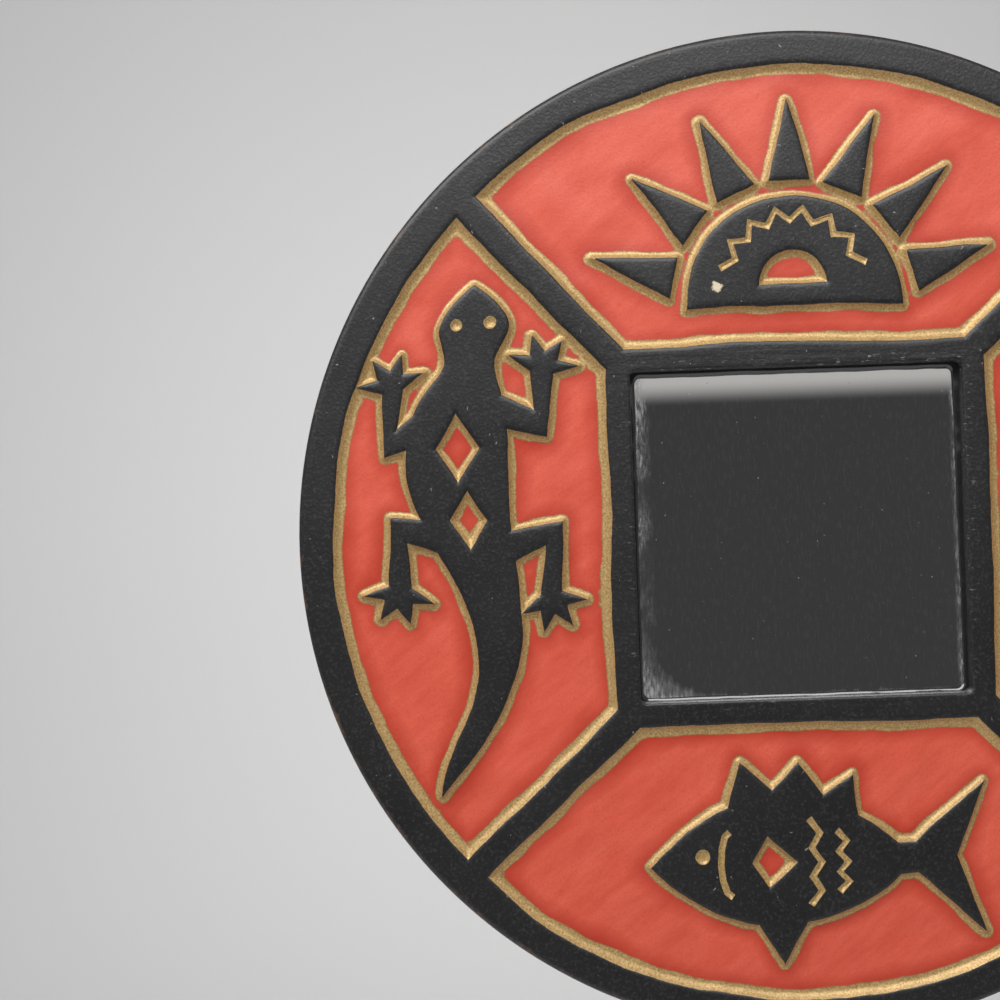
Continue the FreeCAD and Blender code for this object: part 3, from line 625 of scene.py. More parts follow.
# %% [markdown]
# ## The three paints
# Each paint is a colour, a roughness and a share of metal. The black has a fine pebbled skin whose
# tops are painted a little lighter, a painted highlight. The red is streaky, as thin water paint
# dries, and painted shade makes it deeper beside the gold, at the foot of the slopes. The gold is
# bronze powder in a binder: pale, grainy and only partly metal, so it is bright on slopes that face
# the light and olive brown on those that face away.
# Three materials could carry them, but then the borders would have to follow the mesh's edges.

# %% Black
cloud = add(tree, "ShaderNodeTexNoise", {"Vector": place, "Scale": per_mm(32), "Detail": 3.0})
pebble = add(tree, "ShaderNodeTexNoise", {"Vector": place, "Scale": per_mm(1.1), "Detail": 3.0})
black = add(tree, "ShaderNodeMix", {0: cloud, 6: linear("#151516"), 7: linear("#201f21")},
            data_type="RGBA")
# painted highlight: the tops of the pebbled skin are drawn a lighter grey
pebble_highlight = add(tree, "ShaderNodeMapRange", {0: pebble, 1: 0.52, 2: 0.82, 4: 0.5})
grain_lines = add(tree, "ShaderNodeMapRange", {0: grain, 1: 0.5, 2: 0.8, 4: 0.35})
grain_lines = add(tree, "ShaderNodeMath", {0: grain_lines, 1: surround}, operation="MULTIPLY")
wear_and_highlight_on_black = ((pebble_highlight, "#4a4949"), (grain_lines, "#4d4845"), (nicks, "#a19e9a"),
                 (rubbed, "#a7a39f"), (worn, "#6a4c38"), (chipped, "#cdbfa4"))
for where, shade in wear_and_highlight_on_black:
    black = add(tree, "ShaderNodeMix", {0: where, 6: black, 7: linear(shade)}, data_type="RGBA")
print("layers on the black:", len(wear_and_highlight_on_black))

# %% Red
STREAK_TURN = math.radians(-38)  # direction of the brush
SHADE_SWAY = 9.0  # mm by which the edge of the painted shade beside the gold wanders

across = add(tree, "ShaderNodeMapping",
             {"Vector": place, "Rotation": (0, STREAK_TURN, 0), "Scale": (4, 1, 1)},
             vector_type="TEXTURE")
streak = add(tree, "ShaderNodeTexNoise",
             {"Vector": across, "Scale": per_mm(6), "Detail": 5.0, "Roughness": 0.66})
# Pigment and powder are finer than a pixel, so their grain is drawn as coarse as it needs to show.
flake = add(tree, "ShaderNodeTexNoise", {"Vector": place, "Scale": per_mm(0.75), "Detail": 2.0})
streaks = add(tree, "ShaderNodeMapRange", {0: streak, 1: 0.3, 2: 0.7})
red = add(tree, "ShaderNodeMix", {0: streaks, 6: linear("#c54a34"), 7: linear("#d35b46")},
          data_type="RGBA")
pigment = add(tree, "ShaderNodeMapRange", {0: flake, 1: 0.5, 2: 0.72, 4: 0.32})
# painted shade: the red is darkened beside the gold, where the foot of a slope lies in shade
shade_reach = add(tree, "ShaderNodeMath", {0: cloud, 1: SHADE_SWAY, 2: red_border},
           operation="MULTIPLY_ADD")
painted_shade_beside_gold = add(tree, "ShaderNodeMapRange", {0: shade_reach, 1: 3.5, 2: 11.0, 3: 0.9, 4: 0.0})
for where, shade in ((pigment, "#ab3624"), (painted_shade_beside_gold, "#a82b15")):
    red = add(tree, "ShaderNodeMix", {0: where, 6: red, 7: linear(shade)}, data_type="RGBA")
print("with the red:", len(tree.nodes), "nodes")

# %% Gold, and all three together
GOLD_METAL, GOLD_ROUGH = 0.35, 0.46

flakes = add(tree, "ShaderNodeMapRange", {0: flake, 1: 0.22, 2: 0.78})
gold = add(tree, "ShaderNodeMix", {0: flakes, 6: linear("#8b6e3f"), 7: linear("#d0b078")},
           data_type="RGBA")
paints = add(tree, "ShaderNodeMix", {0: in_red, 6: black, 7: red}, data_type="RGBA")
colour = add(tree, "ShaderNodeMix", {0: in_gold, 6: paints, 7: gold}, data_type="RGBA")
metal = add(tree, "ShaderNodeMath", {0: in_gold, 1: GOLD_METAL}, operation="MULTIPLY")
matt = add(tree, "ShaderNodeMapRange", {0: cloud, 3: 0.38, 4: 0.46})
rough = add(tree, "ShaderNodeMix", {0: in_gold, 2: matt, 3: GOLD_ROUGH})
ridges = add(tree, "ShaderNodeMath", {0: grain, 1: surround}, operation="MULTIPLY")
skin = add(tree, "ShaderNodeMath", {0: ridges, 1: 0.8, 2: pebble}, operation="MULTIPLY_ADD")
coarse = add(tree, "ShaderNodeMapRange", {0: in_red, 3: 0.32, 4: 0.2})
bump = add(tree, "ShaderNodeBump", {"Strength": coarse, "Distance": 0.0004, "Height": skin})
feed(tree, shader, {"Base Color": colour, "Metallic": metal, "Roughness": rough, "Normal": bump})
print("paint:", len(tree.nodes), "nodes")

# %% [markdown]
# ## The bare wood of the back
# Nobody paints the back. It is planed pale hardwood with grain that runs across the mirror, and the
# black of the side laps over its edge in an uneven line. Wave textures make wood with regular
# rings; a planed board shows long irregular figure instead, so stretched noise gives the grain and
# finer noise the open pores.

# %% Wood of the back
LAP_SWAY, LAP_FROM, LAP_FULL = 0.008, 0.2008, 0.2016  # metres

# Planed hardwood without a finish: the eye gets warm, dry, matt bands with dark open pores.
wood, tree, shader, place = new_material("planed_pale_hardwood")
with_grain = add(tree, "ShaderNodeMapping", {"Vector": place, "Scale": (0.06, 1.0, 1.0)})
figure = add(tree, "ShaderNodeTexNoise",
             {"Vector": with_grain, "Scale": per_mm(9), "Detail": 4.0, "Distortion": 0.6})
pores = add(tree, "ShaderNodeTexNoise", {"Vector": with_grain, "Scale": per_mm(0.9), "Detail": 2.0})
bands = add(tree, "ShaderNodeMapRange", {0: figure, 1: 0.3, 2: 0.7})
tone = add(tree, "ShaderNodeMix", {0: bands, 6: linear("#c79c68"), 7: linear("#a4733f")},
           data_type="RGBA")
open_pores = add(tree, "ShaderNodeMapRange", {0: pores, 1: 0.58, 2: 0.75, 4: 0.6})
flat_place = add(tree, "ShaderNodeVectorMath", {0: place, 1: (1, 0, 1)}, operation="MULTIPLY")
from_middle = add(tree, "ShaderNodeVectorMath", {0: flat_place}, operation="LENGTH")
lap = add(tree, "ShaderNodeTexNoise", {"Vector": place, "Scale": per_mm(22), "Detail": 2.0})
lapped = add(tree, "ShaderNodeMath", {0: lap, 1: LAP_SWAY, 2: from_middle},
             operation="MULTIPLY_ADD")
painted = add(tree, "ShaderNodeMapRange", {0: lapped, 1: LAP_FROM, 2: LAP_FULL})
for where, shade in ((open_pores, "#6d4520"), (painted, "#222123")):
    tone = add(tree, "ShaderNodeMix", {0: where, 6: tone, 7: linear(shade)}, data_type="RGBA")
bump = add(tree, "ShaderNodeBump", {"Strength": 0.4, "Distance": 0.0002, "Height": pores})
feed(tree, shader, {"Base Color": tone, "Roughness": 0.66, "Normal": bump})
print("wood:", len(tree.nodes), "nodes")

# %% The board takes its place
for material in (paint, wood):
    board_mesh.materials.append(material)
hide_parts("carved_frame")
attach(board, "mirror")
print("board:", [material.name for material in board_mesh.materials])

# %% [markdown]
# ## The mirror glass
# The glass is a plain silvered sheet, so in the eyes of the renderer it is a smooth metal. What
# makes it look old is what lies on it: a grey bloom along the left edge and in the lower left
# corner, where cloths never reach, and single specks of dust. A second, clear layer of dust could
# lie in front of the glass, but it would need its own mesh. One mask does it: where there is
# dust the surface is no longer metal and no longer smooth.

# %% Dust along the edges of the glass
GLASS_HALF = 0.0645  # half the visible glass, metres
LEFT_DUST, RIGHT_DUST = 0.0065, 0.0025  # width of the dust along two edges, metres

# Silvered float glass: the eye gets a clear dark image that greys and blurs where dust lies.
glass, tree, shader, place = new_material("silvered_float_glass")
parts = add(tree, "ShaderNodeSeparateXYZ", {0: place}).outputs
left_edge = add(tree, "ShaderNodeMapRange",
                {0: parts[0], 1: LEFT_DUST - GLASS_HALF, 2: -GLASS_HALF, 4: 0.6})
right_edge = add(tree, "ShaderNodeMapRange",
                 {0: parts[0], 1: GLASS_HALF - RIGHT_DUST, 2: GLASS_HALF, 4: 0.7})
clouds = add(tree, "ShaderNodeTexNoise", {"Vector": place, "Scale": per_mm(14), "Detail": 3.0})
patchy = add(tree, "ShaderNodeMapRange", {0: clouds, 1: 0.38, 2: 0.62, 3: 0.1})
wiped = add(tree, "ShaderNodeMapping", {"Vector": place, "Scale": (1.0, 1.0, 0.25)})
grit = add(tree, "ShaderNodeTexNoise", {"Vector": wiped, "Scale": per_mm(0.8), "Detail": 3.0})
grains = add(tree, "ShaderNodeMapRange", {0: grit, 1: 0.38, 2: 0.72, 3: 0.3})
edge_dust = add(tree, "ShaderNodeMath", {0: left_edge, 1: right_edge}, operation="MAXIMUM")
for where in (patchy, grains):
    edge_dust = add(tree, "ShaderNodeMath", {0: edge_dust, 1: where}, operation="MULTIPLY")
print("dust along the edges:", len(tree.nodes), "nodes")

# %% Smear in the corner of the glass
SMEAR_WIDTH, SMEAR_HEIGHT = 0.034, 0.032  # metres from the lower left corner
SMEAR_STREAKS = 0.7  # how far the streaks pull its border about

smear = 0.0
for axis, extent in ((0, SMEAR_WIDTH), (2, SMEAR_HEIGHT)):
    away = add(tree, "ShaderNodeMapRange", {0: parts[axis], 1: -GLASS_HALF, 2: extent - GLASS_HALF})
    away = add(tree, "ShaderNodeMath", {0: away}, operation="SQRT")
    smear = add(tree, "ShaderNodeMath", {0: smear, 1: away}, operation="ADD")
streak_way = add(tree, "ShaderNodeMapping", {"Vector": place, "Scale": (1.0, 1.0, 0.3)})
streaked = add(tree, "ShaderNodeTexNoise",
               {"Vector": streak_way, "Scale": per_mm(3.2), "Detail": 4.0})
smear = add(tree, "ShaderNodeMath", {0: streaked, 1: SMEAR_STREAKS, 2: smear},
            operation="MULTIPLY_ADD")
smear = add(tree, "ShaderNodeMapRange", {0: smear, 1: 1.42, 2: 0.75, 4: 0.6})
wipes = add(tree, "ShaderNodeTexNoise", {"Vector": wiped, "Scale": per_mm(0.9), "Detail": 4.0})
wipe_marks = add(tree, "ShaderNodeMapRange", {0: wipes, 1: 0.25, 2: 0.78})
bloom = add(tree, "ShaderNodeMath", {0: edge_dust, 1: smear}, operation="MAXIMUM")
bloom = add(tree, "ShaderNodeMath", {0: bloom, 1: wipe_marks}, operation="MULTIPLY")
print("with the smear:", len(tree.nodes), "nodes")

# %% Specks and silver of the glass
speck_cells = add(tree, "ShaderNodeTexVoronoi", {"Vector": place, "Scale": per_mm(3.8)})
chosen = add(tree, "ShaderNodeSeparateColor", {0: speck_cells.outputs["Color"]})
kept_specks = add(tree, "ShaderNodeMapRange", {0: chosen, 1: 0.6, 2: 1.0})
specks = add(tree, "ShaderNodeMapRange", {0: speck_cells, 1: 0.1, 2: 0.02, 4: 0.26})
specks = add(tree, "ShaderNodeMath", {0: specks, 1: kept_specks}, operation="MULTIPLY")
haze = add(tree, "ShaderNodeMapRange", {0: wipes, 1: 0.5, 2: 0.9, 4: 0.02})
dust = add(tree, "ShaderNodeMath", {0: bloom, 1: specks}, operation="MAXIMUM")
dust = add(tree, "ShaderNodeMath", {0: dust, 1: haze}, operation="ADD", use_clamp=True)
tone = add(tree, "ShaderNodeMix", {0: dust, 6: linear("#efefef"), 7: linear("#94908f")},
           data_type="RGBA")
silver = add(tree, "ShaderNodeMath", {0: 1.0, 1: dust}, operation="SUBTRACT")
rough = add(tree, "ShaderNodeMapRange", {0: dust, 1: 0.03, 2: 0.4, 3: 0.015, 4: 0.55})
feed(tree, shader, {"Base Color": tone, "Metallic": silver, "Roughness": rough})


def dress(material, *nodes):
    """Give CAD nodes that keep their shape a material of their own."""
    for node in nodes:
        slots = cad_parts[node].data.materials
        slots.clear()
        slots.append(material)


dress(glass, "mirror_glass")
print("glass:", len(tree.nodes), "nodes")

# %% [markdown]
# ## Sweeping a section along a path
# The filler round the glass and the wire of the hanger ring are both one section that follows a
# path. A bevelled curve could do it, but only with one even section. A Geometry Nodes tree does
# it for both: a path made of edges becomes a curve, an ellipse is swept along it, and a little
# noise moves the surface so that it looks smoothed by a thumb. The path lies in the XY plane
# while it is swept, where the section stands upright by itself, and the tree turns it up
# afterwards.

# %% Growing a piece from a tree


def new_tree(name, inputs):
    """Geometry tree with named inputs, and its two end nodes."""
    tree = bpy.data.node_groups.new(name, "GeometryNodeTree")
    tree.interface.new_socket("Geometry", in_out="OUTPUT", socket_type="NodeSocketGeometry")
    tree.interface.new_socket("Geometry", in_out="INPUT", socket_type="NodeSocketGeometry")
    for label, kind in inputs.items():
        tree.interface.new_socket(label, in_out="INPUT", socket_type=kind)
    return tree, tree.nodes.new("NodeGroupInput").outputs, tree.nodes.new("NodeGroupOutput")


def grow(name, mesh, tree, values):
    """Run a tree on a mesh and keep what it makes as a plain mesh."""
    piece = bpy.data.objects.new(name, mesh)
    bpy.context.scene.collection.objects.link(piece)
    modifier = piece.modifiers.new("grow", "NODES")
    modifier.node_group = tree
    for item in tree.interface.items_tree:
        if item.in_out == "INPUT" and item.name in values:
            modifier[item.identifier] = values[item.name]
    evaluated = piece.evaluated_get(bpy.context.evaluated_depsgraph_get())
    grown = bpy.data.meshes.new_from_object(evaluated)
    piece.modifiers.remove(modifier)
    piece.data = grown
    grown.name = name
    print(name, "has", len(grown.polygons), "faces")
    return piece


# %% A tree that sweeps an ellipse
# All sizes are metres, and Top Swell is the share by which the section grows for a metre of height.
SWEEP_SIZES = ("Half Width", "Half Height", "Unevenness", "Noise Size", "Top Swell", "Depth")
SECTION_POINTS = 20

sweep, given, outlet = new_tree("swept_section", {
    **dict.fromkeys(SWEEP_SIZES, "NodeSocketFloat"), "Material": "NodeSocketMaterial"})
path = add(sweep, "GeometryNodeMeshToCurve", {0: given["Geometry"]})
upright = add(sweep, "GeometryNodeSetCurveNormal", {0: path}, mode="Z_UP")
section = add(sweep, "GeometryNodeCurvePrimitiveCircle",
              {"Resolution": SECTION_POINTS, "Radius": 1.0})
halves = add(sweep, "ShaderNodeCombineXYZ",
             {0: given["Half Width"], 1: given["Half Height"], 2: 1.0})
section = add(sweep, "GeometryNodeTransform", {0: section, "Scale": halves})
along_path = add(sweep, "GeometryNodeInputPosition")
height = add(sweep, "ShaderNodeSeparateXYZ", {0: along_path}).outputs[1]
thick = add(sweep, "ShaderNodeMath", {0: height, 1: given["Top Swell"], 2: 1.0},
            operation="MULTIPLY_ADD")
swept = add(sweep, "GeometryNodeCurveToMesh", {0: upright, 1: section, "Scale": thick})
per_lump = add(sweep, "ShaderNodeMath", {0: 1.0, 1: given["Noise Size"]}, operation="DIVIDE")
lumps = add(sweep, "ShaderNodeTexNoise", {"Scale": per_lump, "Detail": 1.0})
lumps = add(sweep, "ShaderNodeMath", {0: lumps, 1: 0.5}, operation="SUBTRACT")
lumps = add(sweep, "ShaderNodeMath", {0: lumps, 1: given["Unevenness"]}, operation="MULTIPLY")
normal = add(sweep, "GeometryNodeInputNormal")
push = add(sweep, "ShaderNodeVectorMath", {0: normal, "Scale": lumps}, operation="SCALE")
moved = add(sweep, "GeometryNodeSetPosition", {0: swept, "Offset": push})
stand = add(sweep, "ShaderNodeCombineXYZ", {1: given["Depth"]})
turned = add(sweep, "GeometryNodeTransform",
             {0: moved, "Translation": stand, "Rotation": (math.pi / 2, 0, 0)})
smooth = add(sweep, "GeometryNodeSetShadeSmooth", {0: turned})
real = add(sweep, "GeometryNodeRealizeInstances", {0: smooth})
dressed = add(sweep, "GeometryNodeSetMaterial", {0: real, "Material": given["Material"]})
feed(sweep, outlet, {0: dressed})
print("sweep:", len(sweep.nodes), "nodes")

# %% [markdown]
# ## The filler bead
# The glass lies loose in its rebate, and a bead of black filler closes the joint in front. It was
# pressed in and wiped round with a thumb, so it is convex, glossy and uneven, and its lower run
# catches the light from above in one thin bright line. A plain moulding would be too even, so the
# tree above makes it, with more unevenness. Only a quarter of the swept ellipse shows: the rest
# is inside the wood and the glass, as real filler is pressed into the joint.

# %% Filler
# Hard black filler, smoothed while wet: the eye gets a deep gloss that breaks into small lights.
filler, tree, shader, place = new_material("glossy_black_filler")
thumb = add(tree, "ShaderNodeTexNoise", {"Vector": place, "Scale": per_mm(4), "Detail": 3.0})
tone = add(tree, "ShaderNodeMix", {0: thumb, 6: linear("#141416"), 7: linear("#242324")},
           data_type="RGBA")
rough = add(tree, "ShaderNodeMapRange", {0: thumb, 3: 0.08, 4: 0.2})
bump = add(tree, "ShaderNodeBump", {"Strength": 0.25, "Distance": 0.0002, "Height": thumb})
feed(tree, shader, {"Base Color": tone, "Roughness": rough, "Normal": bump,
                    "Coat Weight": 1.0, "Coat Roughness": 0.1})
print("filler:", len(tree.nodes), "nodes")

# %% Filler bead
OPENING_HALF, BEAD_CORNER = 66.0, 5.3  # mm
BEAD_INTO_WOOD, BEAD_INTO_GLASS = 0.8, 0.9  # how far its middle is pressed into either, mm
BEAD_STEP = 1.5  # mm along the path
QUARTERS = ((1, 1, 0), (-1, 1, 90), (-1, -1, 180), (1, -1, 270))  # signs, and first angle


def path_mesh(name, points):
    """Closed path of edges in the XY plane, from points in millimetres."""
    mesh = bpy.data.meshes.new(name)
    mesh.from_pydata([(x / MM, y / MM, 0) for x, y in points], closed(0, len(points)), [])
    return mesh


def arc(x, y, radius, start, stop, count):
    """Points on an arc, angles in degrees."""
    angles = np.radians(np.linspace(start, stop, count))
    return np.column_stack([x + radius * np.cos(angles), y + radius * np.sin(angles)])


inset = OPENING_HALF + BEAD_INTO_WOOD - BEAD_CORNER
bead_corners = np.concatenate([arc(inset * sx, inset * sz, BEAD_CORNER, first, first + 90, 10)
                               for sx, sz, first in QUARTERS])
bead = grow("filler_bead", path_mesh("bead_path", walk(bead_corners, BEAD_STEP)[0]), sweep, {
    "Half Width": 0.0030, "Half Height": 0.0022, "Unevenness": 0.0008, "Noise Size": 0.012,
    "Top Swell": 2.5, "Depth": (BEAD_INTO_GLASS - SHELF) / MM, "Material": filler})
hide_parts("glazing_bead")
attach(bead, "mirror")

# %% [markdown]
# ## The hanger
# A brass strap with a rolled eye holds a ring of bent wire, and two slotted screws hold the strap.
# The strap and the screws keep their CAD shape. The CAD ring would do as well, but its bends are
# faceted, so the ring is swept again along its own path: bar, two tight bends, two arms and a half
# circle. The rolled strap has gone dull and brown, while the ring and the screws, which rub, stay
# brighter, so one function makes both kinds of brass.

# %% Brass of the hanger


def brass(name, bright, dull):
    """Brass with a bright and a dull colour, patches of patina and fine scratches."""
    material, tree, shader, place = new_material(name)
    patina = add(tree, "ShaderNodeTexNoise", {"Vector": place, "Scale": per_mm(3.5), "Detail": 4.0})
    scratch_way = add(tree, "ShaderNodeMapping", {"Vector": place, "Scale": (1.0, 1.0, 0.1)})
    # Real scratches are hair-fine; these are drawn as coarse as they need to show.
    scratch = add(tree, "ShaderNodeTexNoise",
                  {"Vector": scratch_way, "Scale": per_mm(0.4), "Detail": 2.0})
    share = add(tree, "ShaderNodeMapRange", {0: patina, 1: 0.4, 2: 0.7})
    tone = add(tree, "ShaderNodeMix", {0: share, 6: linear(bright), 7: linear(dull)},
               data_type="RGBA")
    rough = add(tree, "ShaderNodeMapRange", {0: share, 3: 0.24, 4: 0.5})
    bump = add(tree, "ShaderNodeBump", {"Strength": 0.3, "Distance": 0.00005, "Height": scratch})
    feed(tree, shader, {"Base Color": tone, "Metallic": 1.0, "Roughness": rough, "Normal": bump})
    print(name, "has", len(tree.nodes), "nodes")
    return material


# Rolled brass that nobody polishes: the eye gets a brown, clouded metal.
strap_brass = brass("tarnished_rolled_brass", "#b08d50", "#7d6032")
# Drawn and turned brass that rubs: the eye gets a warm yellow shine with duller patches.
rubbed_brass = brass("rubbed_drawn_brass", "#e0c27f", "#bd9a58")
dress(strap_brass, "hanger_strap")
dress(rubbed_brass, "hanger_screw_upper", "hanger_screw_lower")

# %% Wire of the ring
AXIS_Z, WIRE, RING_HALF, BEND, BOW_DROP = 158.0, 1.2, 11.2, 3.0, 9.2  # mm

ring_path = np.concatenate([
    arc(RING_HALF - BEND, AXIS_Z - BEND, BEND, 0, 90, 9),
    arc(BEND - RING_HALF, AXIS_Z - BEND, BEND, 90, 180, 9),
    arc(0, AXIS_Z - BOW_DROP, RING_HALF, 180, 360, 41)])
ring_low, ring_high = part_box("hanger_ring")
ring = grow("hanger_ring_wire", path_mesh("ring_path", ring_path), sweep, {
    "Half Width": WIRE / MM, "Half Height": WIRE / MM, "Unevenness": 0.0, "Noise Size": 1.0,
    "Top Swell": 0.0, "Depth": (ring_low.y + ring_high.y) / 2, "Material": rubbed_brass})
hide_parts("hanger_ring")
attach(ring, "ring")

# %% [markdown]
# ## Backing panel and card
# A thin plywood panel closes the back, and a sheet of card between it and the glass takes up the
# slack. Both are plain sheets in the CAD model, so their shape stays and only their finish is made.
# An image of wood would repeat; noise stretched along the panel gives figure and fibres at their
# real size.

# %% Plywood of the backing panel
# Sanded birch plywood: the eye gets a pale face with long soft figure and short dark fibres.
plywood, tree, shader, place = new_material("birch_plywood_face")
with_grain = add(tree, "ShaderNodeMapping", {"Vector": place, "Scale": (1.0, 1.0, 0.05)})
figure = add(tree, "ShaderNodeTexNoise",
             {"Vector": with_grain, "Scale": per_mm(14), "Detail": 3.0, "Distortion": 1.2})
fibre = add(tree, "ShaderNodeTexNoise", {"Vector": with_grain, "Scale": per_mm(0.7), "Detail": 2.0})
bands = add(tree, "ShaderNodeMapRange", {0: figure, 1: 0.35, 2: 0.65})
tone = add(tree, "ShaderNodeMix", {0: bands, 6: linear("#d9bb8c"), 7: linear("#c19a64")},
           data_type="RGBA")
fibres = add(tree, "ShaderNodeMapRange", {0: fibre, 1: 0.56, 2: 0.8, 4: 0.4})
tone = add(tree, "ShaderNodeMix", {0: fibres, 6: tone, 7: linear("#8d6838")}, data_type="RGBA")
bump = add(tree, "ShaderNodeBump", {"Strength": 0.3, "Distance": 0.00012, "Height": fibre})
feed(tree, shader, {"Base Color": tone, "Roughness": 0.62, "Normal": bump})
dress(plywood, "backing_panel")
print("plywood:", len(tree.nodes), "nodes")

# %% Cushion card
# Grey pulp card: the eye gets dull flecks of fibre and no shine at all.
card, tree, shader, place = new_material("grey_pulp_card")
pulp = add(tree, "ShaderNodeTexNoise", {"Vector": place, "Scale": per_mm(1.2), "Detail": 4.0})
tone = add(tree, "ShaderNodeMix", {0: pulp, 6: linear("#8d8069"), 7: linear("#a99b82")},
           data_type="RGBA")
feed(tree, shader, {"Base Color": tone, "Roughness": 0.9})
dress(card, "cushion_card")
print("card:", len(tree.nodes), "nodes")

# %% [markdown]
# ## Pins
# Eight steel pins with small pressed heads hold the backing panel. Copies of one mesh would be
# enough, but no two pins were driven alike. A second tree builds one pin from its sizes, sets it on
# every point that it is given and turns each by a random angle. The points are the middles of
# the CAD pins.

# %% Steel of the pins
# Drawn bright steel: the eye gets a cool grey metal with small bright and dull spots.
steel, tree, shader, place = new_material("drawn_bright_steel")
wear = add(tree, "ShaderNodeTexNoise", {"Vector": place, "Scale": per_mm(0.5), "Detail": 3.0})
tone = add(tree, "ShaderNodeMix", {0: wear, 6: linear("#8e8c88"), 7: linear("#c9c8c4")},
           data_type="RGBA")
rough = add(tree, "ShaderNodeMapRange", {0: wear, 3: 0.25, 4: 0.5})
feed(tree, shader, {"Base Color": tone, "Metallic": 1.0, "Roughness": rough})
print("steel:", len(tree.nodes), "nodes")

# %% A tree that sets out pins
PIN_SIZES = ("Head Radius", "Head Height", "Shank Radius", "Shank Length")
HEAD_BEVEL = 0.8  # radius of a head's top, as a share of its widest
PIN_TIP = 0.0002  # metres
FULL_TURN = 6.28  # radians

setting, given, outlet = new_tree("pins_set_out", {
    **dict.fromkeys(PIN_SIZES, "NodeSocketFloat"), "Seed": "NodeSocketInt",
    "Material": "NodeSocketMaterial"})
head_top = add(setting, "ShaderNodeMath", {0: given["Head Radius"], 1: HEAD_BEVEL},
               operation="MULTIPLY")
head = add(setting, "GeometryNodeMeshCone", {
    "Vertices": 24, "Side Segments": 2, "Radius Top": head_top,
    "Radius Bottom": given["Head Radius"], "Depth": given["Head Height"]})
shank = add(setting, "GeometryNodeMeshCone", {
    "Vertices": 16, "Radius Top": given["Shank Radius"], "Radius Bottom": PIN_TIP,
    "Depth": given["Shank Length"]})
pin = add(setting, "GeometryNodeJoinGeometry")
for part, length in ((head, "Head Height"), (shank, "Shank Length")):
    down = add(setting, "ShaderNodeMath", {0: given[length], 1: -1.0}, operation="MULTIPLY")
    sunk_by = add(setting, "ShaderNodeCombineXYZ", {2: down})
    part = add(setting, "GeometryNodeTransform", {0: part, "Translation": sunk_by})
    feed(setting, pin, {0: part})
spin = add(setting, "FunctionNodeRandomValue", {2: 0.0, 3: FULL_TURN, "Seed": given["Seed"]})
turn = add(setting, "ShaderNodeCombineXYZ", {0: -math.pi / 2, 1: spin.outputs[1]})
stood = add(setting, "GeometryNodeInstanceOnPoints",
            {0: given["Geometry"], "Instance": pin, "Rotation": turn})
real = add(setting, "GeometryNodeRealizeInstances", {0: stood})
dressed = add(setting, "GeometryNodeSetMaterial", {0: real, "Material": given["Material"]})
feed(setting, outlet, {0: dressed})
print("pin setting:", len(setting.nodes), "nodes")

# %% Panel pins
pin_nodes = [f"panel_pin_{number}" for number in range(1, 9)]
pin_middles = [sum(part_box(node), Vector()) / 2 for node in pin_nodes]
pin_points = bpy.data.meshes.new("pin_points")
pin_points.from_pydata([(middle.x, 0, middle.z) for middle in pin_middles], [], [])
pins = grow("panel_pins", pin_points, setting, {
    "Head Radius": 0.0013, "Head Height": 0.0008, "Shank Radius": 0.0007, "Shank Length": 0.0102,
    "Seed": 7, "Material": steel})
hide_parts(*pin_nodes)
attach(pins, "mirror")

# %% [markdown]
# ## Stage
# The mirror hangs in front of a pale grey sweep of paper, far enough away to throw no shadow on it.
# One large soft lamp stands above and in front, the world fills in, and a lamp behind the mirror
# lifts the paper. A mirror shows whatever stands in front of it. A photograph of a room could do
# that job, but a plain glowing board, dark with a pale upper edge, is enough: a painted reflection
# that is no lamp. It stands behind the camera, and only reflections see it.

# %% Paper sweep
FLOOR_Z, FRONT_Y, BACK_Y, TOP_Z = -0.62, -3.0, 1.9, 3.0  # metres
CURVE, HALF_WIDTH = 0.6, 3.0

# Matt paper: the eye gets an even pale grey without highlights.
paper_grey, tree, shader, place = new_material("pale_grey_paper")
mottle = add(tree, "ShaderNodeTexNoise", {"Vector": place, "Scale": per_mm(1250), "Detail": 1.0})
tone = add(tree, "ShaderNodeMix", {0: mottle, 6: linear("#dbdbdb"), 7: linear("#e0e0e0")},
           data_type="RGBA")
feed(tree, shader, {"Base Color": tone, "Roughness": 0.9})


def stage_piece(name, corners, sheets, material):
    """Sheet of the stage, which is no part of the mirror."""
    mesh = bpy.data.meshes.new(name)
    mesh.from_pydata(corners, [], sheets)
    mesh.shade_smooth()
    mesh.materials.append(material)
    piece = bpy.data.objects.new(name, mesh)
    bpy.context.scene.collection.objects.link(piece)
    return piece


profile = [(FRONT_Y, FLOOR_Z)]
profile += [(BACK_Y - CURVE + CURVE * math.sin(a), FLOOR_Z + CURVE * (1 - math.cos(a)))
            for a in np.linspace(0, math.pi / 2, 17)]
profile.append((BACK_Y, TOP_Z))
stage_piece("paper_sweep", [(x, y, z) for y, z in profile for x in (-HALF_WIDTH, HALF_WIDTH)],
            [(2 * k, 2 * k + 1, 2 * k + 3, 2 * k + 2) for k in range(len(profile) - 1)], paper_grey)
print("paper sweep:", len(profile) - 1, "strips")

# %% Board that the glass reflects
BOARD_Y, BOARD_HALF, BOARD_LOW, BOARD_HIGH = -0.7, 1.4, -0.6, 0.2  # metres
PALE_FROM, PALE_FULL = 0.0898, 0.1102  # height of the soft border of its pale upper edge
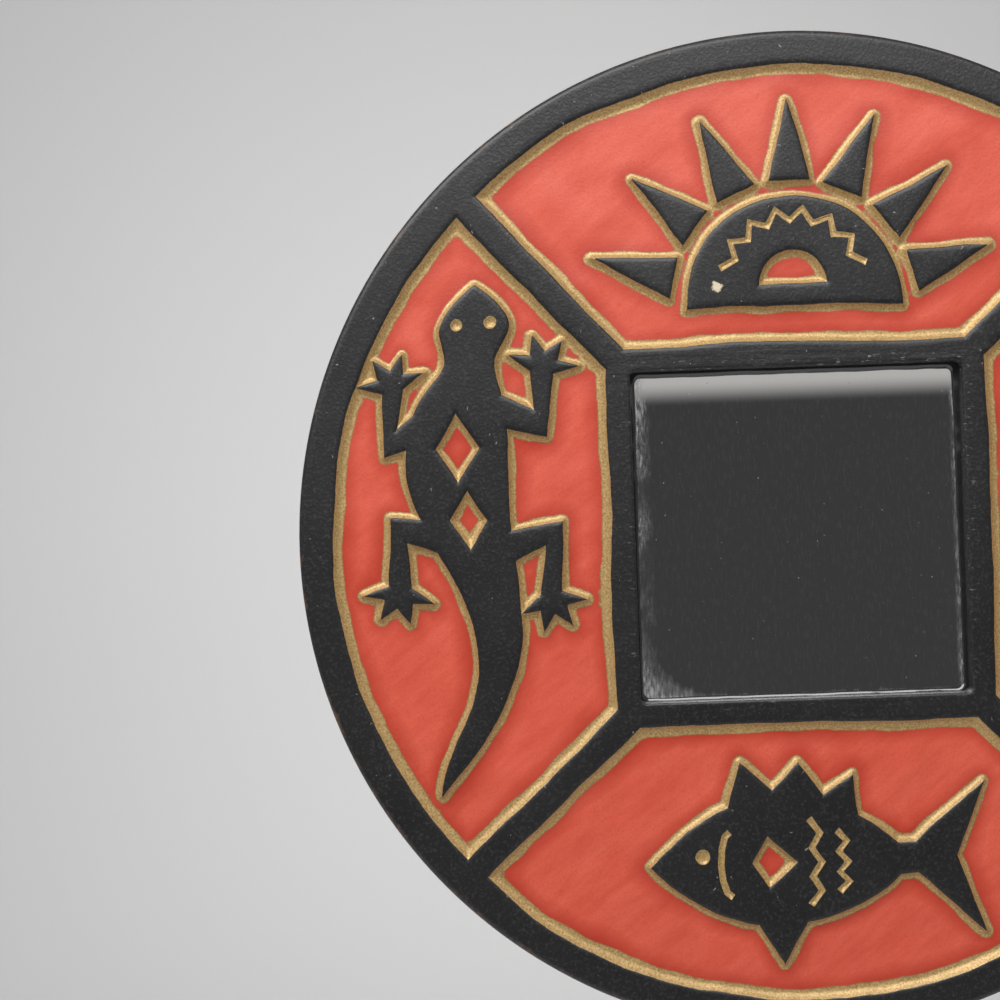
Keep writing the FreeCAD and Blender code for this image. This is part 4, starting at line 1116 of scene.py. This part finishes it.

# Painted reflection: a glowing board, no lamp, stands for a dark room with a light wall top; the
# eye gets a black glass with one pale band.
glowing_board = bpy.data.materials.new("glowing_board_for_reflections")
tree = bare_tree(glowing_board)
place = add(tree, "ShaderNodeTexCoord").outputs["Object"]
up_board = add(tree, "ShaderNodeSeparateXYZ", {0: place}).outputs[2]
pale = add(tree, "ShaderNodeMapRange", {0: up_board, 1: PALE_FROM, 2: PALE_FULL},
           interpolation_type="SMOOTHSTEP")
tone = add(tree, "ShaderNodeMix", {0: pale, 6: linear("#3c3c3d"), 7: linear("#bab8b5")},
           data_type="RGBA")
glow = add(tree, "ShaderNodeEmission", {"Color": tone})
add(tree, "ShaderNodeOutputMaterial", {"Surface": glow})
board_corners = [(x * BOARD_HALF, BOARD_Y, z) for x, z in
                 ((-1, BOARD_LOW), (1, BOARD_LOW), (1, BOARD_HIGH), (-1, BOARD_HIGH))]
reflected = stage_piece("reflected_board", board_corners, [(0, 1, 2, 3)], glowing_board)
reflected.visible_camera = reflected.visible_diffuse = reflected.visible_shadow = False
print("reflected board:", round(-BOARD_Y, 2), "m in front of the wall")

# %% Lamps and world
ROOM_LIGHT = 0.25


def lamp(name, place, aim, width, height, power):
    """Soft rectangular lamp that looks at a point."""
    data = bpy.data.lights.new(name, "AREA")
    data.shape, data.size, data.size_y, data.energy = "RECTANGLE", width, height, power
    light = bpy.data.objects.new(name, data)
    light.location = place
    light.visible_camera = False
    light.rotation_euler = (Vector(aim) - Vector(place)).to_track_quat("-Z", "Y").to_euler()
    bpy.context.scene.collection.objects.link(light)
    print(name, "gives", power, "W")


lamp("soft_key", (-0.35, -0.9, 1.0), (0, 0, 0), 1.9, 0.8, 31)
lamp("sweep_lift", (0, 0.3, 0), (0, BACK_Y, 0), 0.3, 0.3, 8)
world = bpy.data.worlds.new("even_room")
bpy.context.scene.world = world
tree = bare_tree(world)
room = add(tree, "ShaderNodeBackground", {"Color": linear("#ffffff"), "Strength": ROOM_LIGHT})
add(tree, "ShaderNodeOutputWorld", {"Surface": room})

# %% [markdown]
# ## Camera
# The photograph was taken square to the face, a little left of the middle and with the board turned
# two degrees. A camera could be moved by eye until the picture fits, but three numbers read off the
# picture give its place at once: where the disc's centre falls, how many millimetres a pixel
# covers on the face, and a normal lens. The camera keeps its axis square to the wall and rolls by
# the two degrees.

# %% Camera
FRAME_PX, FOCAL_PX, MM_PER_PX = 1000, 1600, 0.3976
CENTRE_PX, ROLL = (801.5, 532), math.radians(2.0)

right = Vector((math.cos(ROLL), 0, -math.sin(ROLL)))
up = Vector((math.sin(ROLL), 0, math.cos(ROLL)))
disc_right = (CENTRE_PX[0] - FRAME_PX / 2) * MM_PER_PX / MM
disc_up = (FRAME_PX / 2 - CENTRE_PX[1]) * MM_PER_PX / MM
distance = FOCAL_PX * MM_PER_PX / MM + FACE / MM
camera_data = bpy.data.cameras.new("camera")
camera_data.sensor_fit, camera_data.sensor_width = "HORIZONTAL", 36.0
camera_data.lens = camera_data.sensor_width * FOCAL_PX / FRAME_PX
camera = bpy.data.objects.new("camera", camera_data)
spot = Vector((0, -distance, 0)) - right * disc_right - up * disc_up
axes = Matrix((right, up, Vector((0, -1, 0)))).transposed().to_4x4()
camera.matrix_world = Matrix.Translation(spot) @ axes
bpy.context.scene.collection.objects.link(camera)
bpy.context.scene.camera = camera
bpy.context.scene.view_settings.view_transform = "Standard"
print("camera at", [round(v, 4) for v in spot], "lens", round(camera_data.lens, 1), "mm")
